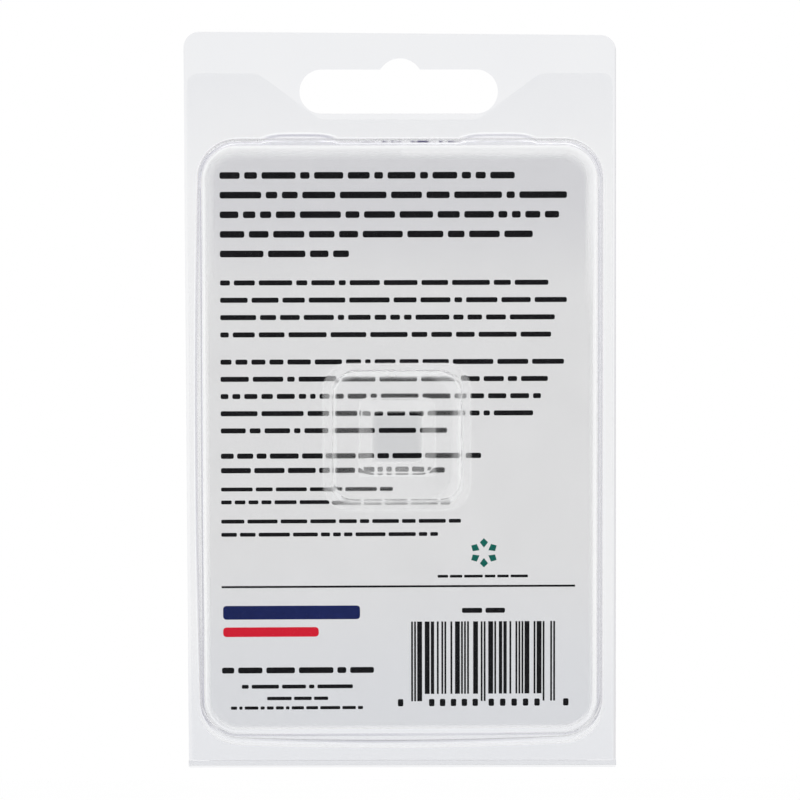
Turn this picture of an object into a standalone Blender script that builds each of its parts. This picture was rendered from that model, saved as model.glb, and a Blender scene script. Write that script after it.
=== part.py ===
"""Clear hinged hang pack with a swivelling magnetic hook inside its bubble.

Units are metres and +Z is up. The back of the pack faces -Y and the bubble points to +Y.
The origin is the crown of the hang hole, midway between the two plies of the flange.
"""
import math

import bmesh
import bpy
from mathutils import Vector

# Clearances
GAP = 0.0003            # air between two pieces that touch each other
RUNNING_GAP = 0.0003    # play around a pin, a rivet or an eye
SWING_CLEAR = 0.0006    # least air between the swinging hook and the cup
BUBBLE_CLEAR = 0.0004   # least air between the turning hook and the bubble's walls
FRONT_CLEAR = 0.00125   # air between the hook, pointing straight out, and the bubble's front

# Clear sheet and the outline of the pack
SHEET = 0.0005          # thickness of the formed sheet
PACK_W = 0.0940
TOP_MARGIN = 0.0052     # crown of the hang hole up to the top edge
FOLD_DROP = 0.15435     # crown of the hang hole down to the fold's axis
FOLD_R = 0.00065        # radius of the rounded fold
PACK_CORNER = 0.0035

# Hang hole in the front ply
SLOT_X = -0.0003
SLOT_W = 0.0430
SLOT_H = 0.0095
DOME_R = 0.0050
DOME_H = 0.0026

# Rear ply, which is narrower and shorter and is notched around the hang hole
REAR_SIDE_INSET = 0.0007
REAR_TOP_DROP = 0.0034
REAR_CORNER = 0.0026
NOTCH_TOP_OUT = 0.0089  # notch's top corner past the end of the hang hole
NOTCH_BOTTOM_IN = 0.00445   # notch's bottom corner short of the end of the hang hole
NOTCH_BELOW_SLOT = 0.0013
NOTCH_SHOULDER_R = 0.0060
NOTCH_CORNER_R = 0.0040

# Card pocket of the rear ply, on the sheet's middle surface
PANEL_X = -0.0003
PANEL_TOP_DROP = 0.0176
SIDE_MARGIN = 0.00285   # pack's side edge to the pocket, taken at the middle of the pack
BOTTOM_MARGIN = 0.0055  # pocket's bottom to the fold's axis
PANEL_CORNER = 0.0088
PANEL_RISE = 0.0030
WALL_DRAFT = math.radians(12)
FOOT_R = 0.0006
EDGE_R = 0.0012
LUG_W = 0.0168          # width of a snap bulge on the top wall
LUG_OUT = 0.0011
LUG_MARGIN = 0.00545    # from a snap bulge's end to the pocket's corner
BOW_OUT = 0.0012        # how far the bottom wall bows out at mid width
BOW_FADE_SHARE = 0.6    # part of the bow that is gone at the pocket's face
BOTTOM_RUN = 0.0010     # how much further the bottom wall leans in than the others

# Stepped square ring on the rear ply
BOSS_DX = -0.0006       # offset from the pocket's middle
BOSS_DZ = 0.00105
BOSS_HALF = 0.0159
BOSS_CORNER = 0.0057
BOSS_RISE = 0.0035
BOSS_WALL_RUN = 0.0022
RIM_HALF = 0.0082       # half width of the pit at its rim
PIT_HALF = 0.0056       # half width of the pit's floor
BOSS_FILLET = 0.0009

# Card
CARD_T = 0.0005
CARD_CLEAR = 0.0012     # card's edge to the pocket's wall
CARD_LIFT = 0.0003      # further clearance over the leaning bottom wall

# Bubble of the front ply
BUBBLE_DRAFT = math.radians(4)
BUBBLE_CORNER = 0.0120
BUBBLE_FOOT_R = 0.0010
BUBBLE_EDGE_R = 0.0060

# Magnet base
LINER_T = 0.0008
CUP_R = 0.0240
CUP_H = 0.0090
CUP_WALL = 0.0030
CUP_FLOOR = 0.0030
CUP_EDGE_R = 0.0008
MAGNET_BORE_R = 0.0050
MAGNET_EDGE_R = 0.0003
MAGNET_RECESS = 0.0002  # magnet's face below the cup's rim
POTTING_W = 0.0010
POTTING_RECESS = 0.0005

# Swivel
RIVET_R = 0.0025
RIVET_TAIL_R = 0.0040
RIVET_TAIL_T = 0.0015
RIVET_HEAD_R = 0.0036
RIVET_HEAD_T = 0.0012
RIVET_EDGE_R = 0.0004
WASHER_R = 0.0065
WASHER_T = 0.0005
YOKE_R = 0.0072
YOKE_T = 0.0020
YOKE_EDGE_R = 0.0005
EAR_T = 0.0020
EAR_TOP_R = 0.0040
EAR_FOOT_HALF = 0.0038
HEAD_CLEAR = 0.0004     # rivet's head to the ears

# Pin and hook
PIN_R = 0.0015
PIN_HEAD_R = 0.0024
PIN_HEAD_T = 0.0008
PIN_EDGE_R = 0.0003
EYE_WALL = 0.0020
EYE_EDGE_R = 0.0004
ROOT_SHARE = 0.33       # depth of the wire's root in the eye's wall
WIRE_R = 0.0020
BOW_R = 0.0068          # hook's bow, at the middle of the wire
BOW_DROP = 0.0138       # pin to the bow's middle
NECK_R = 0.0030         # bend between the neck and the bow
BOW_OPEN = math.radians(30)
TIP_RUN = 0.0016
TIP_R = 0.0022

# Numbers of steps in the round shapes
CORNER_STEPS = 5
FINE_CORNER_STEPS = 7
FILLET_STEPS = 2
EDGE_STEPS = 4
LUG_STEPS = 6
BOW_STEPS = 8
DOME_STEPS = 8
SLOT_END_STEPS = 10
TURN_STEPS = 40
SMALL_TURN_STEPS = 24
WIRE_SIDES = 12
HOOK_ARC_STEPS = 18
NECK_STEPS = 4
TIP_STEPS = 4
FILLET_SHARE = 0.49     # most of a side that one fillet may take up
JOIN_SHARE = 0.01       # of the gap: points nearer than this are one
SMOOTH_ANGLE = math.radians(35)

# Levels along Y, from the back of the pack to its front
REAR_PLY_Y = -(GAP + SHEET) / 2
FRONT_PLY_Y = -REAR_PLY_Y
PANEL_Y = REAR_PLY_Y - PANEL_RISE
BOSS_Y = PANEL_Y - BOSS_RISE
CARD_BACK_Y = PANEL_Y + SHEET / 2 + GAP
CARD_FRONT_Y = CARD_BACK_Y + CARD_T
DECK_Y = CARD_FRONT_Y + GAP + SHEET / 2
LINER_BACK_Y = CARD_FRONT_Y + GAP
CUP_BACK_Y = LINER_BACK_Y + LINER_T + GAP
CUP_FLOOR_Y = CUP_BACK_Y + CUP_H - CUP_FLOOR
CUP_FRONT_Y = CUP_BACK_Y + CUP_H
WASHER_Y = CUP_FRONT_Y + GAP
YOKE_Y = WASHER_Y + WASHER_T + GAP
YOKE_FRONT_Y = YOKE_Y + YOKE_T
HEAD_Y = YOKE_FRONT_Y + RUNNING_GAP
HEAD_FRONT_Y = HEAD_Y + RIVET_HEAD_T
EYE_HOLE_R = PIN_R + RUNNING_GAP
EYE_R = EYE_HOLE_R + EYE_WALL
PIVOT_Y = max(CUP_FRONT_Y + SWING_CLEAR + BOW_R + max(TIP_R, WIRE_R), HEAD_FRONT_Y + SWING_CLEAR + EYE_R)
HOOK_REACH = BOW_DROP + BOW_R + WIRE_R
BUBBLE_Y = PIVOT_Y + HOOK_REACH + FRONT_CLEAR + SHEET / 2

# Places across the pack
FOLD_Z = -FOLD_DROP
FLANGE_BOTTOM_Z = FOLD_Z + FOLD_R + GAP
SLOT_TOP_Z = -DOME_H
SLOT_BOTTOM_Z = SLOT_TOP_Z - SLOT_H
PANEL_W = PACK_W - 2 * SIDE_MARGIN
PANEL_H = FOLD_DROP - BOTTOM_MARGIN - PANEL_TOP_DROP
LUG_X = PANEL_W / 2 - PANEL_CORNER - LUG_MARGIN - LUG_W / 2
PANEL_Z = -(PANEL_TOP_DROP + PANEL_H / 2)
BOSS_X = PANEL_X + BOSS_DX
BOSS_Z = PANEL_Z + BOSS_DZ

# Nested walls: the plug of the front ply lies one ply's pitch inside the pocket's wall
PLY_PITCH = GAP + SHEET
PLUG_INSET = PLY_PITCH / math.cos(WALL_DRAFT) - PLY_PITCH * math.tan(WALL_DRAFT)
WALL_RUN = PANEL_RISE * math.tan(WALL_DRAFT)
CARD_INSET = WALL_RUN + SHEET / 2 / math.cos(WALL_DRAFT) + CARD_CLEAR

# Bubble: wide enough for the cup at its foot and for the turning hook further out
CUP_HALF = CUP_R + GAP + (CUP_FRONT_Y - DECK_Y) * math.tan(BUBBLE_DRAFT)
SWEEP_Y = PIVOT_Y + BOW_R + WIRE_R
SWEEP_HALF = HOOK_REACH + BUBBLE_CLEAR + (SWEEP_Y - DECK_Y) * math.tan(BUBBLE_DRAFT)
BUBBLE_HALF = max(CUP_HALF, SWEEP_HALF) + SHEET / 2 / math.cos(BUBBLE_DRAFT)
BUBBLE_RUN = (BUBBLE_Y - DECK_Y) * math.tan(BUBBLE_DRAFT)

# Yoke: the rivet's head turns between the ears, and the hook's eye fills the same space
EAR_INNER_X = RIVET_HEAD_R + HEAD_CLEAR
EAR_OUTER_X = EAR_INNER_X + EAR_T
EYE_HALF = EAR_INNER_X - RUNNING_GAP


def clear_scene():
    for obj in list(bpy.data.objects):
        bpy.data.objects.remove(obj, do_unlink=True)


def material(name, color, roughness, metallic=0.0, alpha=1.0):
    mat = bpy.data.materials.new(name)
    mat.use_nodes = True
    shader = mat.node_tree.nodes["Principled BSDF"]
    shader.inputs["Base Color"].default_value = (*color, 1.0)
    shader.inputs["Roughness"].default_value = roughness
    shader.inputs["Metallic"].default_value = metallic
    shader.inputs["Alpha"].default_value = alpha
    mat.diffuse_color = (*color, alpha)
    return mat


# Outlines

def fillet(before, corner, after, radius, steps):
    """Points of the arc that rounds one corner of a path."""
    corner = Vector(corner)
    to_before = Vector(before) - corner
    to_after = Vector(after) - corner
    if radius <= 0.0:
        return [tuple(corner)]
    half = to_before.angle(to_after) / 2
    room = FILLET_SHARE * min(to_before.length, to_after.length)
    run = min(radius / math.tan(half), room)
    radius = run * math.tan(half)
    start = corner + to_before.normalized() * run
    end = corner + to_after.normalized() * run
    middle = corner + (to_before.normalized() + to_after.normalized()).normalized() * radius / math.sin(half)
    sweep = math.pi - 2 * half
    points = []
    for step in range(steps + 1):
        turn = sweep * step / steps
        arm = (start - middle) * math.sin(sweep - turn) + (end - middle) * math.sin(turn)
        points.append(tuple(middle + arm / math.sin(sweep)))
    return points


def rounded_path(corners, steps, closed):
    """Round each corner (a, b, radius) of a path. The ends of an open path stay as they are."""
    points = []
    count = len(corners)
    for index, (a, b, radius) in enumerate(corners):
        if not closed and index in (0, count - 1):
            points.append((a, b))
            continue
        before = corners[index - 1][:2]
        after = corners[(index + 1) % count][:2]
        points += fillet(before, (a, b), after, radius, steps)
    return points


def rounded_box(x, z, half_w, half_h, radius, steps):
    corners = [
        (x + half_w, z - half_h, radius),
        (x + half_w, z + half_h, radius),
        (x - half_w, z + half_h, radius),
        (x - half_w, z - half_h, radius),
    ]
    return rounded_path(corners, steps, closed=True)


def front_outline():
    half = PACK_W / 2
    corners = [
        (half, FLANGE_BOTTOM_Z, 0.0),
        (half, TOP_MARGIN, PACK_CORNER),
        (-half, TOP_MARGIN, PACK_CORNER),
        (-half, FLANGE_BOTTOM_Z, 0.0),
    ]
    return rounded_path(corners, CORNER_STEPS, closed=True)


def rear_outline():
    half = PACK_W / 2 - REAR_SIDE_INSET
    top = -REAR_TOP_DROP
    notch = SLOT_BOTTOM_Z - NOTCH_BELOW_SLOT
    notch_top = SLOT_W / 2 + NOTCH_TOP_OUT
    notch_bottom = SLOT_W / 2 - NOTCH_BOTTOM_IN
    corners = [
        (half, FLANGE_BOTTOM_Z, 0.0),
        (half, top, REAR_CORNER),
        (SLOT_X + notch_top, top, NOTCH_SHOULDER_R),
        (SLOT_X + notch_bottom, notch, NOTCH_CORNER_R),
        (SLOT_X - notch_bottom, notch, NOTCH_CORNER_R),
        (SLOT_X - notch_top, top, NOTCH_SHOULDER_R),
        (-half, top, REAR_CORNER),
        (-half, FLANGE_BOTTOM_Z, 0.0),
    ]
    return rounded_path(corners, CORNER_STEPS, closed=True)


def slot_outline():
    """A slot with round ends and a domed crown, which is centred on the pack."""
    end_r = SLOT_H / 2
    middle_z = SLOT_TOP_Z - end_r
    reach = SLOT_W / 2 - end_r
    points = []
    for side in (1, -1):
        for step in range(SLOT_END_STEPS + 1):
            turn = side * math.pi * (step / SLOT_END_STEPS - 0.5)
            points.append((SLOT_X + side * (reach + end_r * math.cos(turn)), middle_z + end_r * math.sin(turn)))
        if side > 0:
            spread = math.acos(1 - DOME_H / DOME_R)
            for step in range(DOME_STEPS + 1):
                turn = spread * (1 - 2 * step / DOME_STEPS)
                points.append((DOME_R * math.sin(turn), DOME_R * (math.cos(turn) - 1)))
    return points


def pocket_loop(inset, y):
    """The card pocket's outline at one inset and level: snap bulges on top, a bowed and leaning bottom."""
    depth_share = min(max((REAR_PLY_Y - y) / PANEL_RISE, 0.0), 1.0)
    lug = LUG_OUT * (1 - depth_share)
    bow = BOW_OUT * (1 - BOW_FADE_SHARE * depth_share)
    lean = BOTTOM_RUN * depth_share
    middle = PANEL_Z + lean / 2
    half_w = PANEL_W / 2 - inset
    half_h = (PANEL_H - lean) / 2 - inset
    radius = PANEL_CORNER - inset
    box = rounded_box(PANEL_X, middle, half_w, half_h, radius, CORNER_STEPS)
    half_way = len(box) // 2
    points = box[:half_way]
    for side in (1, -1):
        for step in range(LUG_STEPS + 1):
            share = 1 - 2 * step / LUG_STEPS
            x = PANEL_X + side * LUG_X + share * LUG_W / 2
            points.append((x, middle + half_h + lug * (1 - share * share)))
    points += box[half_way:]
    straight = half_w - radius
    for step in range(1, BOW_STEPS):
        share = 2 * step / BOW_STEPS - 1
        points.append((PANEL_X + share * straight, middle - half_h - bow * (1 - share * share)))
    return points


# Mesh building

def finish(name, bm, mat, origin=(0.0, 0.0, 0.0), parent=None):
    """Turn a bmesh into a named object whose origin is the given point."""
    bmesh.ops.recalc_face_normals(bm, faces=bm.faces)
    bmesh.ops.translate(bm, verts=bm.verts, vec=-Vector(origin))
    mesh = bpy.data.meshes.new(name)
    bm.to_mesh(mesh)
    bm.free()
    obj = bpy.data.objects.new(name, mesh)
    bpy.context.scene.collection.objects.link(obj)
    mesh.materials.append(mat)
    mesh.shade_smooth()
    mesh.set_sharp_from_angle(angle=SMOOTH_ANGLE)
    if parent is None:
        obj.location = origin
    else:
        obj.parent = parent
    return obj


def pivot(name, place, parent=None):
    """An empty that marks a joint's axis. The place is in the pack's frame."""
    empty = bpy.data.objects.new(name, None)
    bpy.context.scene.collection.objects.link(empty)
    empty.parent = parent
    empty.location = Vector(place) - (Vector(parent.location) if parent else Vector())
    return empty


def add_ring(bm, points, y):
    return [bm.verts.new((x, y, z)) for x, z in points]


def close_ring(bm, ring):
    edges = []
    for index, vert in enumerate(ring):
        pair = (vert, ring[(index + 1) % len(ring)])
        edges.append(bm.edges.get(pair) or bm.edges.new(pair))
    return edges


def join_rings(bm, first, second):
    count = len(first)
    for index in range(count):
        following = (index + 1) % count
        bm.faces.new((first[index], first[following], second[following], second[index]))


def loft(bm, loops):
    """Skin a list of (points, y) loops and return the first and the last ring."""
    rings = [add_ring(bm, points, y) for points, y in loops]
    for first, second in zip(rings, rings[1:]):
        join_rings(bm, first, second)
    return rings[0], rings[-1]


def fill_flat(bm, rings):
    """Fill the flat area between an outer ring and the rings inside it."""
    edges = [edge for ring in rings for edge in close_ring(bm, ring)]
    bmesh.ops.triangle_fill(bm, use_beauty=True, edges=edges, normal=(0.0, 1.0, 0.0))


def wall_section(start_inset, start_y, end_inset, end_y, start_r, end_r):
    """Section of one formed wall as (inset, y) points, rounded where it meets the two flats."""
    over = abs(end_y - start_y)
    corners = [
        (start_inset - over, start_y, 0.0),
        (start_inset, start_y, start_r),
        (end_inset, end_y, end_r),
        (end_inset + over, end_y, 0.0),
    ]
    first = fillet(corners[0][:2], corners[1][:2], corners[2][:2], start_r, FILLET_STEPS)
    last = fillet(corners[1][:2], corners[2][:2], corners[3][:2], end_r, EDGE_STEPS)
    return first + last


def formed_sheet(name, bm, mat, origin, parent=None):
    obj = finish(name, bm, mat, origin, parent)
    solid = obj.modifiers.new("sheet_thickness", "SOLIDIFY")
    solid.thickness = SHEET
    solid.offset = 0.0
    solid.use_even_offset = True
    solid.use_quality_normals = True
    return obj


def turned(name, section, steps, mat, place, parent=None, axis="Y"):
    """Turn a closed (radius, height) section around an axis through the given place."""
    bm = bmesh.new()
    verts = [bm.verts.new((radius, height, 0.0)) for radius, height in section]
    on_axis = [edge for edge in close_ring(bm, verts) if edge.verts[0].co.x == edge.verts[1].co.x == 0.0]
    bmesh.ops.delete(bm, geom=on_axis, context="EDGES_FACES")
    bmesh.ops.spin(bm, geom=bm.verts[:] + bm.edges[:], cent=(0.0, 0.0, 0.0), axis=(0.0, 1.0, 0.0),
                   angle=math.tau, steps=steps, use_merge=True)
    bmesh.ops.remove_doubles(bm, verts=bm.verts, dist=GAP * JOIN_SHARE)
    if axis == "X":
        for vert in bm.verts:
            vert.co = Vector((vert.co.y, -vert.co.x, vert.co.z))
    bmesh.ops.translate(bm, verts=bm.verts, vec=Vector(place))
    return finish(name, bm, mat, place, parent)


def tube_section(inner, outer, start, end, edge_r):
    corners = [(inner, start, edge_r), (outer, start, edge_r), (outer, end, edge_r), (inner, end, edge_r)]
    return rounded_path(corners, FILLET_STEPS, closed=True)


def merge(target, tool, operation):
    """Join or cut one object with another and keep only the result."""
    change = target.modifiers.new("merge", "BOOLEAN")
    change.operation = operation
    change.solver = "EXACT"
    change.object = tool
    bpy.context.view_layer.update()
    graph = bpy.context.evaluated_depsgraph_get()
    result = bpy.data.meshes.new_from_object(target.evaluated_get(graph))
    target.modifiers.clear()
    target.data = result
    bpy.data.objects.remove(tool, do_unlink=True)
    result.shade_smooth()
    result.set_sharp_from_angle(angle=SMOOTH_ANGLE)


# The pack

def rear_shell(mat, fold):
    bm = bmesh.new()
    section = wall_section(0.0, REAR_PLY_Y, WALL_RUN, PANEL_Y, FOOT_R, EDGE_R)
    foot, face = loft(bm, [(pocket_loop(inset, y), y) for inset, y in section])
    outline = add_ring(bm, rear_outline(), REAR_PLY_Y)
    fill_flat(bm, [outline, foot])
    corners = [
        (-BOSS_WALL_RUN, PANEL_Y, 0.0),
        (0.0, PANEL_Y, BOSS_FILLET),
        (BOSS_WALL_RUN, BOSS_Y, BOSS_FILLET),
        (BOSS_HALF - RIM_HALF, BOSS_Y, BOSS_FILLET),
        (BOSS_HALF - PIT_HALF, PANEL_Y, BOSS_FILLET),
        (BOSS_HALF, PANEL_Y, 0.0),
    ]
    steps = rounded_path(corners, FILLET_STEPS, closed=False)[1:-1]
    loops = []
    for inset, y in steps:
        half = BOSS_HALF - inset
        radius = max(BOSS_CORNER * half / BOSS_HALF, SHEET)
        loops.append((rounded_box(BOSS_X, BOSS_Z, half, half, radius, CORNER_STEPS), y))
    boss_foot, pit = loft(bm, loops)
    fill_flat(bm, [face, boss_foot])
    fill_flat(bm, [pit])
    return formed_sheet("rear_shell", bm, mat, (0.0, 0.0, FOLD_Z), fold)


def front_shell(mat):
    bm = bmesh.new()
    plug_run = (FRONT_PLY_Y - DECK_Y) * math.tan(WALL_DRAFT)
    section = wall_section(PLUG_INSET, FRONT_PLY_Y, PLUG_INSET + plug_run, DECK_Y, FOOT_R + PLY_PITCH, FOOT_R)
    foot, deck = loft(bm, [(pocket_loop(inset, y), y) for inset, y in section])
    outline = add_ring(bm, front_outline(), FRONT_PLY_Y)
    slot = add_ring(bm, slot_outline(), FRONT_PLY_Y)
    fill_flat(bm, [outline, slot, foot])
    loops = []
    for inset, y in wall_section(0.0, DECK_Y, BUBBLE_RUN, BUBBLE_Y, BUBBLE_FOOT_R, BUBBLE_EDGE_R):
        half = BUBBLE_HALF - inset
        loops.append((rounded_box(BOSS_X, BOSS_Z, half, half, BUBBLE_CORNER - inset, FINE_CORNER_STEPS), y))
    mouth, front = loft(bm, loops)
    fill_flat(bm, [deck, mouth])
    fill_flat(bm, [front])
    return formed_sheet("front_shell", bm, mat, (0.0, 0.0, 0.0))


def fold_hinge(mat):
    section = [(0.0, -PACK_W / 2), (FOLD_R, -PACK_W / 2), (FOLD_R, PACK_W / 2), (0.0, PACK_W / 2)]
    return turned("fold_hinge", section, SMALL_TURN_STEPS, mat, (0.0, 0.0, FOLD_Z), axis="X")


def insert_card(mat):
    bm = bmesh.new()
    half_w = PANEL_W / 2 - CARD_INSET
    half_h = (PANEL_H - CARD_LIFT) / 2 - CARD_INSET
    middle = PANEL_Z + CARD_LIFT / 2
    outline = rounded_box(PANEL_X, middle, half_w, half_h, PANEL_CORNER - CARD_INSET, FINE_CORNER_STEPS)
    back, front = loft(bm, [(outline, CARD_BACK_Y), (outline, CARD_FRONT_Y)])
    bm.faces.new(back)
    bm.faces.new(front)
    return finish("insert_card", bm, mat)


# The magnet base

def magnet_base(mats):
    place = (BOSS_X, 0.0, BOSS_Z)
    liner = [(0.0, LINER_BACK_Y), (CUP_R, LINER_BACK_Y), (CUP_R, CUP_BACK_Y - GAP), (0.0, CUP_BACK_Y - GAP)]
    turned("liner", liner, TURN_STEPS, mats["liner"], place)

    hole = RIVET_R + RUNNING_GAP
    recess_r = CUP_R - CUP_WALL
    cup = [
        (hole, CUP_FLOOR_Y, 0.0),
        (recess_r, CUP_FLOOR_Y, 0.0),
        (recess_r, CUP_BACK_Y, 0.0),
        (CUP_R, CUP_BACK_Y, CUP_EDGE_R),
        (CUP_R, CUP_FRONT_Y, CUP_EDGE_R),
        (hole, CUP_FRONT_Y, 0.0),
    ]
    turned("magnet_cup", rounded_path(cup, FILLET_STEPS, closed=True), TURN_STEPS, mats["cup"], place)

    potting_r = recess_r - GAP
    magnet_r = potting_r - POTTING_W - GAP
    seat_y = CUP_FLOOR_Y - GAP
    magnet = tube_section(MAGNET_BORE_R, magnet_r, CUP_BACK_Y + MAGNET_RECESS, seat_y, MAGNET_EDGE_R)
    turned("ring_magnet", magnet, TURN_STEPS, mats["magnet"], place)
    potting = tube_section(potting_r - POTTING_W, potting_r, CUP_BACK_Y + POTTING_RECESS, seat_y, 0.0)
    turned("potting_ring", potting, TURN_STEPS, mats["potting"], place)

    rivet = [
        (0.0, seat_y - RIVET_TAIL_T, 0.0),
        (RIVET_TAIL_R, seat_y - RIVET_TAIL_T, RIVET_EDGE_R),
        (RIVET_TAIL_R, seat_y, 0.0),
        (RIVET_R, seat_y, 0.0),
        (RIVET_R, HEAD_Y, 0.0),
        (RIVET_HEAD_R, HEAD_Y, 0.0),
        (RIVET_HEAD_R, HEAD_FRONT_Y, RIVET_EDGE_R),
        (0.0, HEAD_FRONT_Y, 0.0),
    ]
    turned("swivel_rivet", rounded_path(rivet, FILLET_STEPS, closed=True), SMALL_TURN_STEPS,
           mats["rivet"], place)
    washer = tube_section(hole, WASHER_R, WASHER_Y, WASHER_Y + WASHER_T, 0.0)
    turned("slip_washer", washer, SMALL_TURN_STEPS, mats["washer"], place)


# The turning yoke, its pin and the hook

def ear(name, side, mat, place):
    """One ear as a plate across X, with a round top and its foot in the yoke's plate."""
    foot = YOKE_Y + YOKE_T / 2
    outline = [(EAR_FOOT_HALF, foot, 0.0), (EAR_FOOT_HALF, YOKE_FRONT_Y, 0.0)]
    for step in range(2 * CORNER_STEPS + 1):
        turn = math.pi * step / (2 * CORNER_STEPS)
        outline.append((EAR_TOP_R * math.cos(turn), PIVOT_Y + EAR_TOP_R * math.sin(turn), 0.0))
    outline += [(-EAR_FOOT_HALF, YOKE_FRONT_Y, 0.0), (-EAR_FOOT_HALF, foot, 0.0)]
    bm = bmesh.new()
    rings = []
    for x in (side * EAR_INNER_X, side * EAR_OUTER_X):
        rings.append([bm.verts.new((place[0] + x, y, place[2] + z)) for z, y, _ in outline])
    join_rings(bm, rings[0], rings[1])
    bm.faces.new(rings[0])
    bm.faces.new(rings[1])
    return finish(name, bm, mat)


def swivel_yoke(mat, spin, place):
    hole = RIVET_R + RUNNING_GAP
    plate = tube_section(hole, YOKE_R, YOKE_Y, YOKE_FRONT_Y, YOKE_EDGE_R)
    yoke = turned("swivel_yoke", plate, 2 * SMALL_TURN_STEPS, mat, place, spin)
    for side in (1, -1):
        merge(yoke, ear("ear", side, mat, place), "UNION")
    bore = [(0.0, -YOKE_R), (EYE_HOLE_R, -YOKE_R), (EYE_HOLE_R, YOKE_R), (0.0, YOKE_R)]
    drill = turned("pin_bore", bore, SMALL_TURN_STEPS, mat, (place[0], PIVOT_Y, place[2]), axis="X")
    merge(yoke, drill, "DIFFERENCE")
    return yoke


def pivot_pin(mat, spin, place):
    head_x = EAR_OUTER_X + GAP
    end_x = head_x + PIN_HEAD_T
    section = [
        (0.0, -end_x, 0.0),
        (PIN_HEAD_R, -end_x, PIN_EDGE_R),
        (PIN_HEAD_R, -head_x, 0.0),
        (PIN_R, -head_x, 0.0),
        (PIN_R, head_x, 0.0),
        (PIN_HEAD_R, head_x, 0.0),
        (PIN_HEAD_R, end_x, PIN_EDGE_R),
        (0.0, end_x, 0.0),
    ]
    pin = turned("pivot_pin", rounded_path(section, FILLET_STEPS, closed=True), SMALL_TURN_STEPS, mat,
                 (place[0], PIVOT_Y, place[2]), axis="X")
    pin.parent = spin
    pin.location = (0.0, PIVOT_Y, 0.0)
    return pin


def hook_line():
    """Middle line of the hook's wire as (out, down) from the pin, with its direction."""
    rise = math.sqrt((BOW_R + NECK_R) ** 2 - NECK_R ** 2)
    neck_down = BOW_DROP - rise
    meet = math.atan2(NECK_R, rise)
    line = [((0.0, EYE_HOLE_R + EYE_WALL * ROOT_SHARE), (0.0, 1.0))]
    for step in range(NECK_STEPS + 1):
        turn = (math.pi / 2 - meet) * step / NECK_STEPS
        out = NECK_R * (math.cos(turn) - 1)
        line.append(((out, neck_down + NECK_R * math.sin(turn)), (-math.sin(turn), math.cos(turn))))
    start = math.pi + meet
    end = math.tau + math.pi / 2 - BOW_OPEN
    for step in range(1, HOOK_ARC_STEPS + 1):
        turn = start + (end - start) * step / HOOK_ARC_STEPS
        out = BOW_R * math.sin(turn)
        down = BOW_DROP + BOW_R * math.cos(turn)
        line.append(((out, down), (math.cos(turn), -math.sin(turn))))
    return line


def hook(mat, swing, place):
    bm = bmesh.new()
    rings = []

    def add_wire_ring(point, heading, radius):
        side = (-heading[1], heading[0])
        ring = []
        for step in range(WIRE_SIDES):
            turn = math.tau * step / WIRE_SIDES
            across = radius * math.cos(turn)
            out = point[0] + across * side[0]
            down = point[1] + across * side[1]
            ring.append(bm.verts.new((place[0] + radius * math.sin(turn), PIVOT_Y + out, place[2] - down)))
        rings.append(ring)

    line = hook_line()
    for point, heading in line:
        add_wire_ring(point, heading, WIRE_R)
    end, heading = line[-1]
    neck = -math.acos(WIRE_R / TIP_R)
    for step in range(TIP_STEPS):
        turn = neck + (math.pi / 2 - neck) * step / TIP_STEPS
        along = TIP_RUN + TIP_R * math.sin(turn)
        point = (end[0] + along * heading[0], end[1] + along * heading[1])
        add_wire_ring(point, heading, TIP_R * math.cos(turn))
    for first, second in zip(rings, rings[1:]):
        join_rings(bm, first, second)
    bm.faces.new(rings[0])
    bm.faces.new(rings[-1])
    center = (place[0], PIVOT_Y, place[2])
    wire = finish("wire", bm, mat, center)
    barrel = tube_section(EYE_HOLE_R, EYE_R, -EYE_HALF, EYE_HALF, EYE_EDGE_R)
    body = turned("hook", barrel, SMALL_TURN_STEPS, mat, center, axis="X")
    merge(body, wire, "UNION")
    body.parent = swing
    body.location = (0.0, 0.0, 0.0)
    return body


def build():
    clear_scene()
    clear_sheet = material("clear_sheet", (0.93, 0.94, 0.96), 0.08, alpha=0.3)
    steel = material("bright_steel", (0.62, 0.63, 0.65), 0.22, metallic=1.0)
    fold = pivot("fold_axis", (0.0, 0.0, FOLD_Z))
    rear_shell(clear_sheet, fold)
    front_shell(material("clear_sheet_front", (0.93, 0.94, 0.96), 0.08, alpha=0.3))
    fold_hinge(material("clear_fold", (0.94, 0.95, 0.97), 0.1, alpha=0.5))
    insert_card(material("printed_card", (0.70, 0.70, 0.705), 0.55))
    magnet_base({
        "liner": material("soft_liner", (0.025, 0.025, 0.027), 0.75),
        "cup": material("plated_cup", (0.66, 0.67, 0.69), 0.2, metallic=1.0),
        "magnet": material("plated_magnet", (0.58, 0.58, 0.6), 0.3, metallic=1.0),
        "potting": material("black_resin", (0.02, 0.02, 0.022), 0.4),
        "rivet": material("rivet_steel", (0.55, 0.55, 0.57), 0.3, metallic=1.0),
        "washer": material("slip_plastic", (0.8, 0.79, 0.75), 0.5),
    })
    place = (BOSS_X, 0.0, BOSS_Z)
    spin = pivot("spin_axis", place)
    swing = pivot("swing_axis", (BOSS_X, PIVOT_Y, BOSS_Z), spin)
    swivel_yoke(material("yoke_steel", (0.62, 0.63, 0.65), 0.25, metallic=1.0), spin, place)
    pivot_pin(material("pin_steel", (0.5, 0.5, 0.52), 0.3, metallic=1.0), spin, place)
    hook(steel, swing, place)


build()
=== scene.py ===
"""Looks of the clear hinged hang pack with a swivelling magnetic hook in its bubble.

Metres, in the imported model's frame: +Z up, the printed back faces -Y and the bubble points to +Y.
The origin is the crown of the hang hole, midway between the two plies of the flange.
"""
import random
from functools import partialmethod
from math import acos, atan2, cos, pi, radians, sin, sqrt, tan, tau

import bmesh
import bpy
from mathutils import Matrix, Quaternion, Vector


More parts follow.
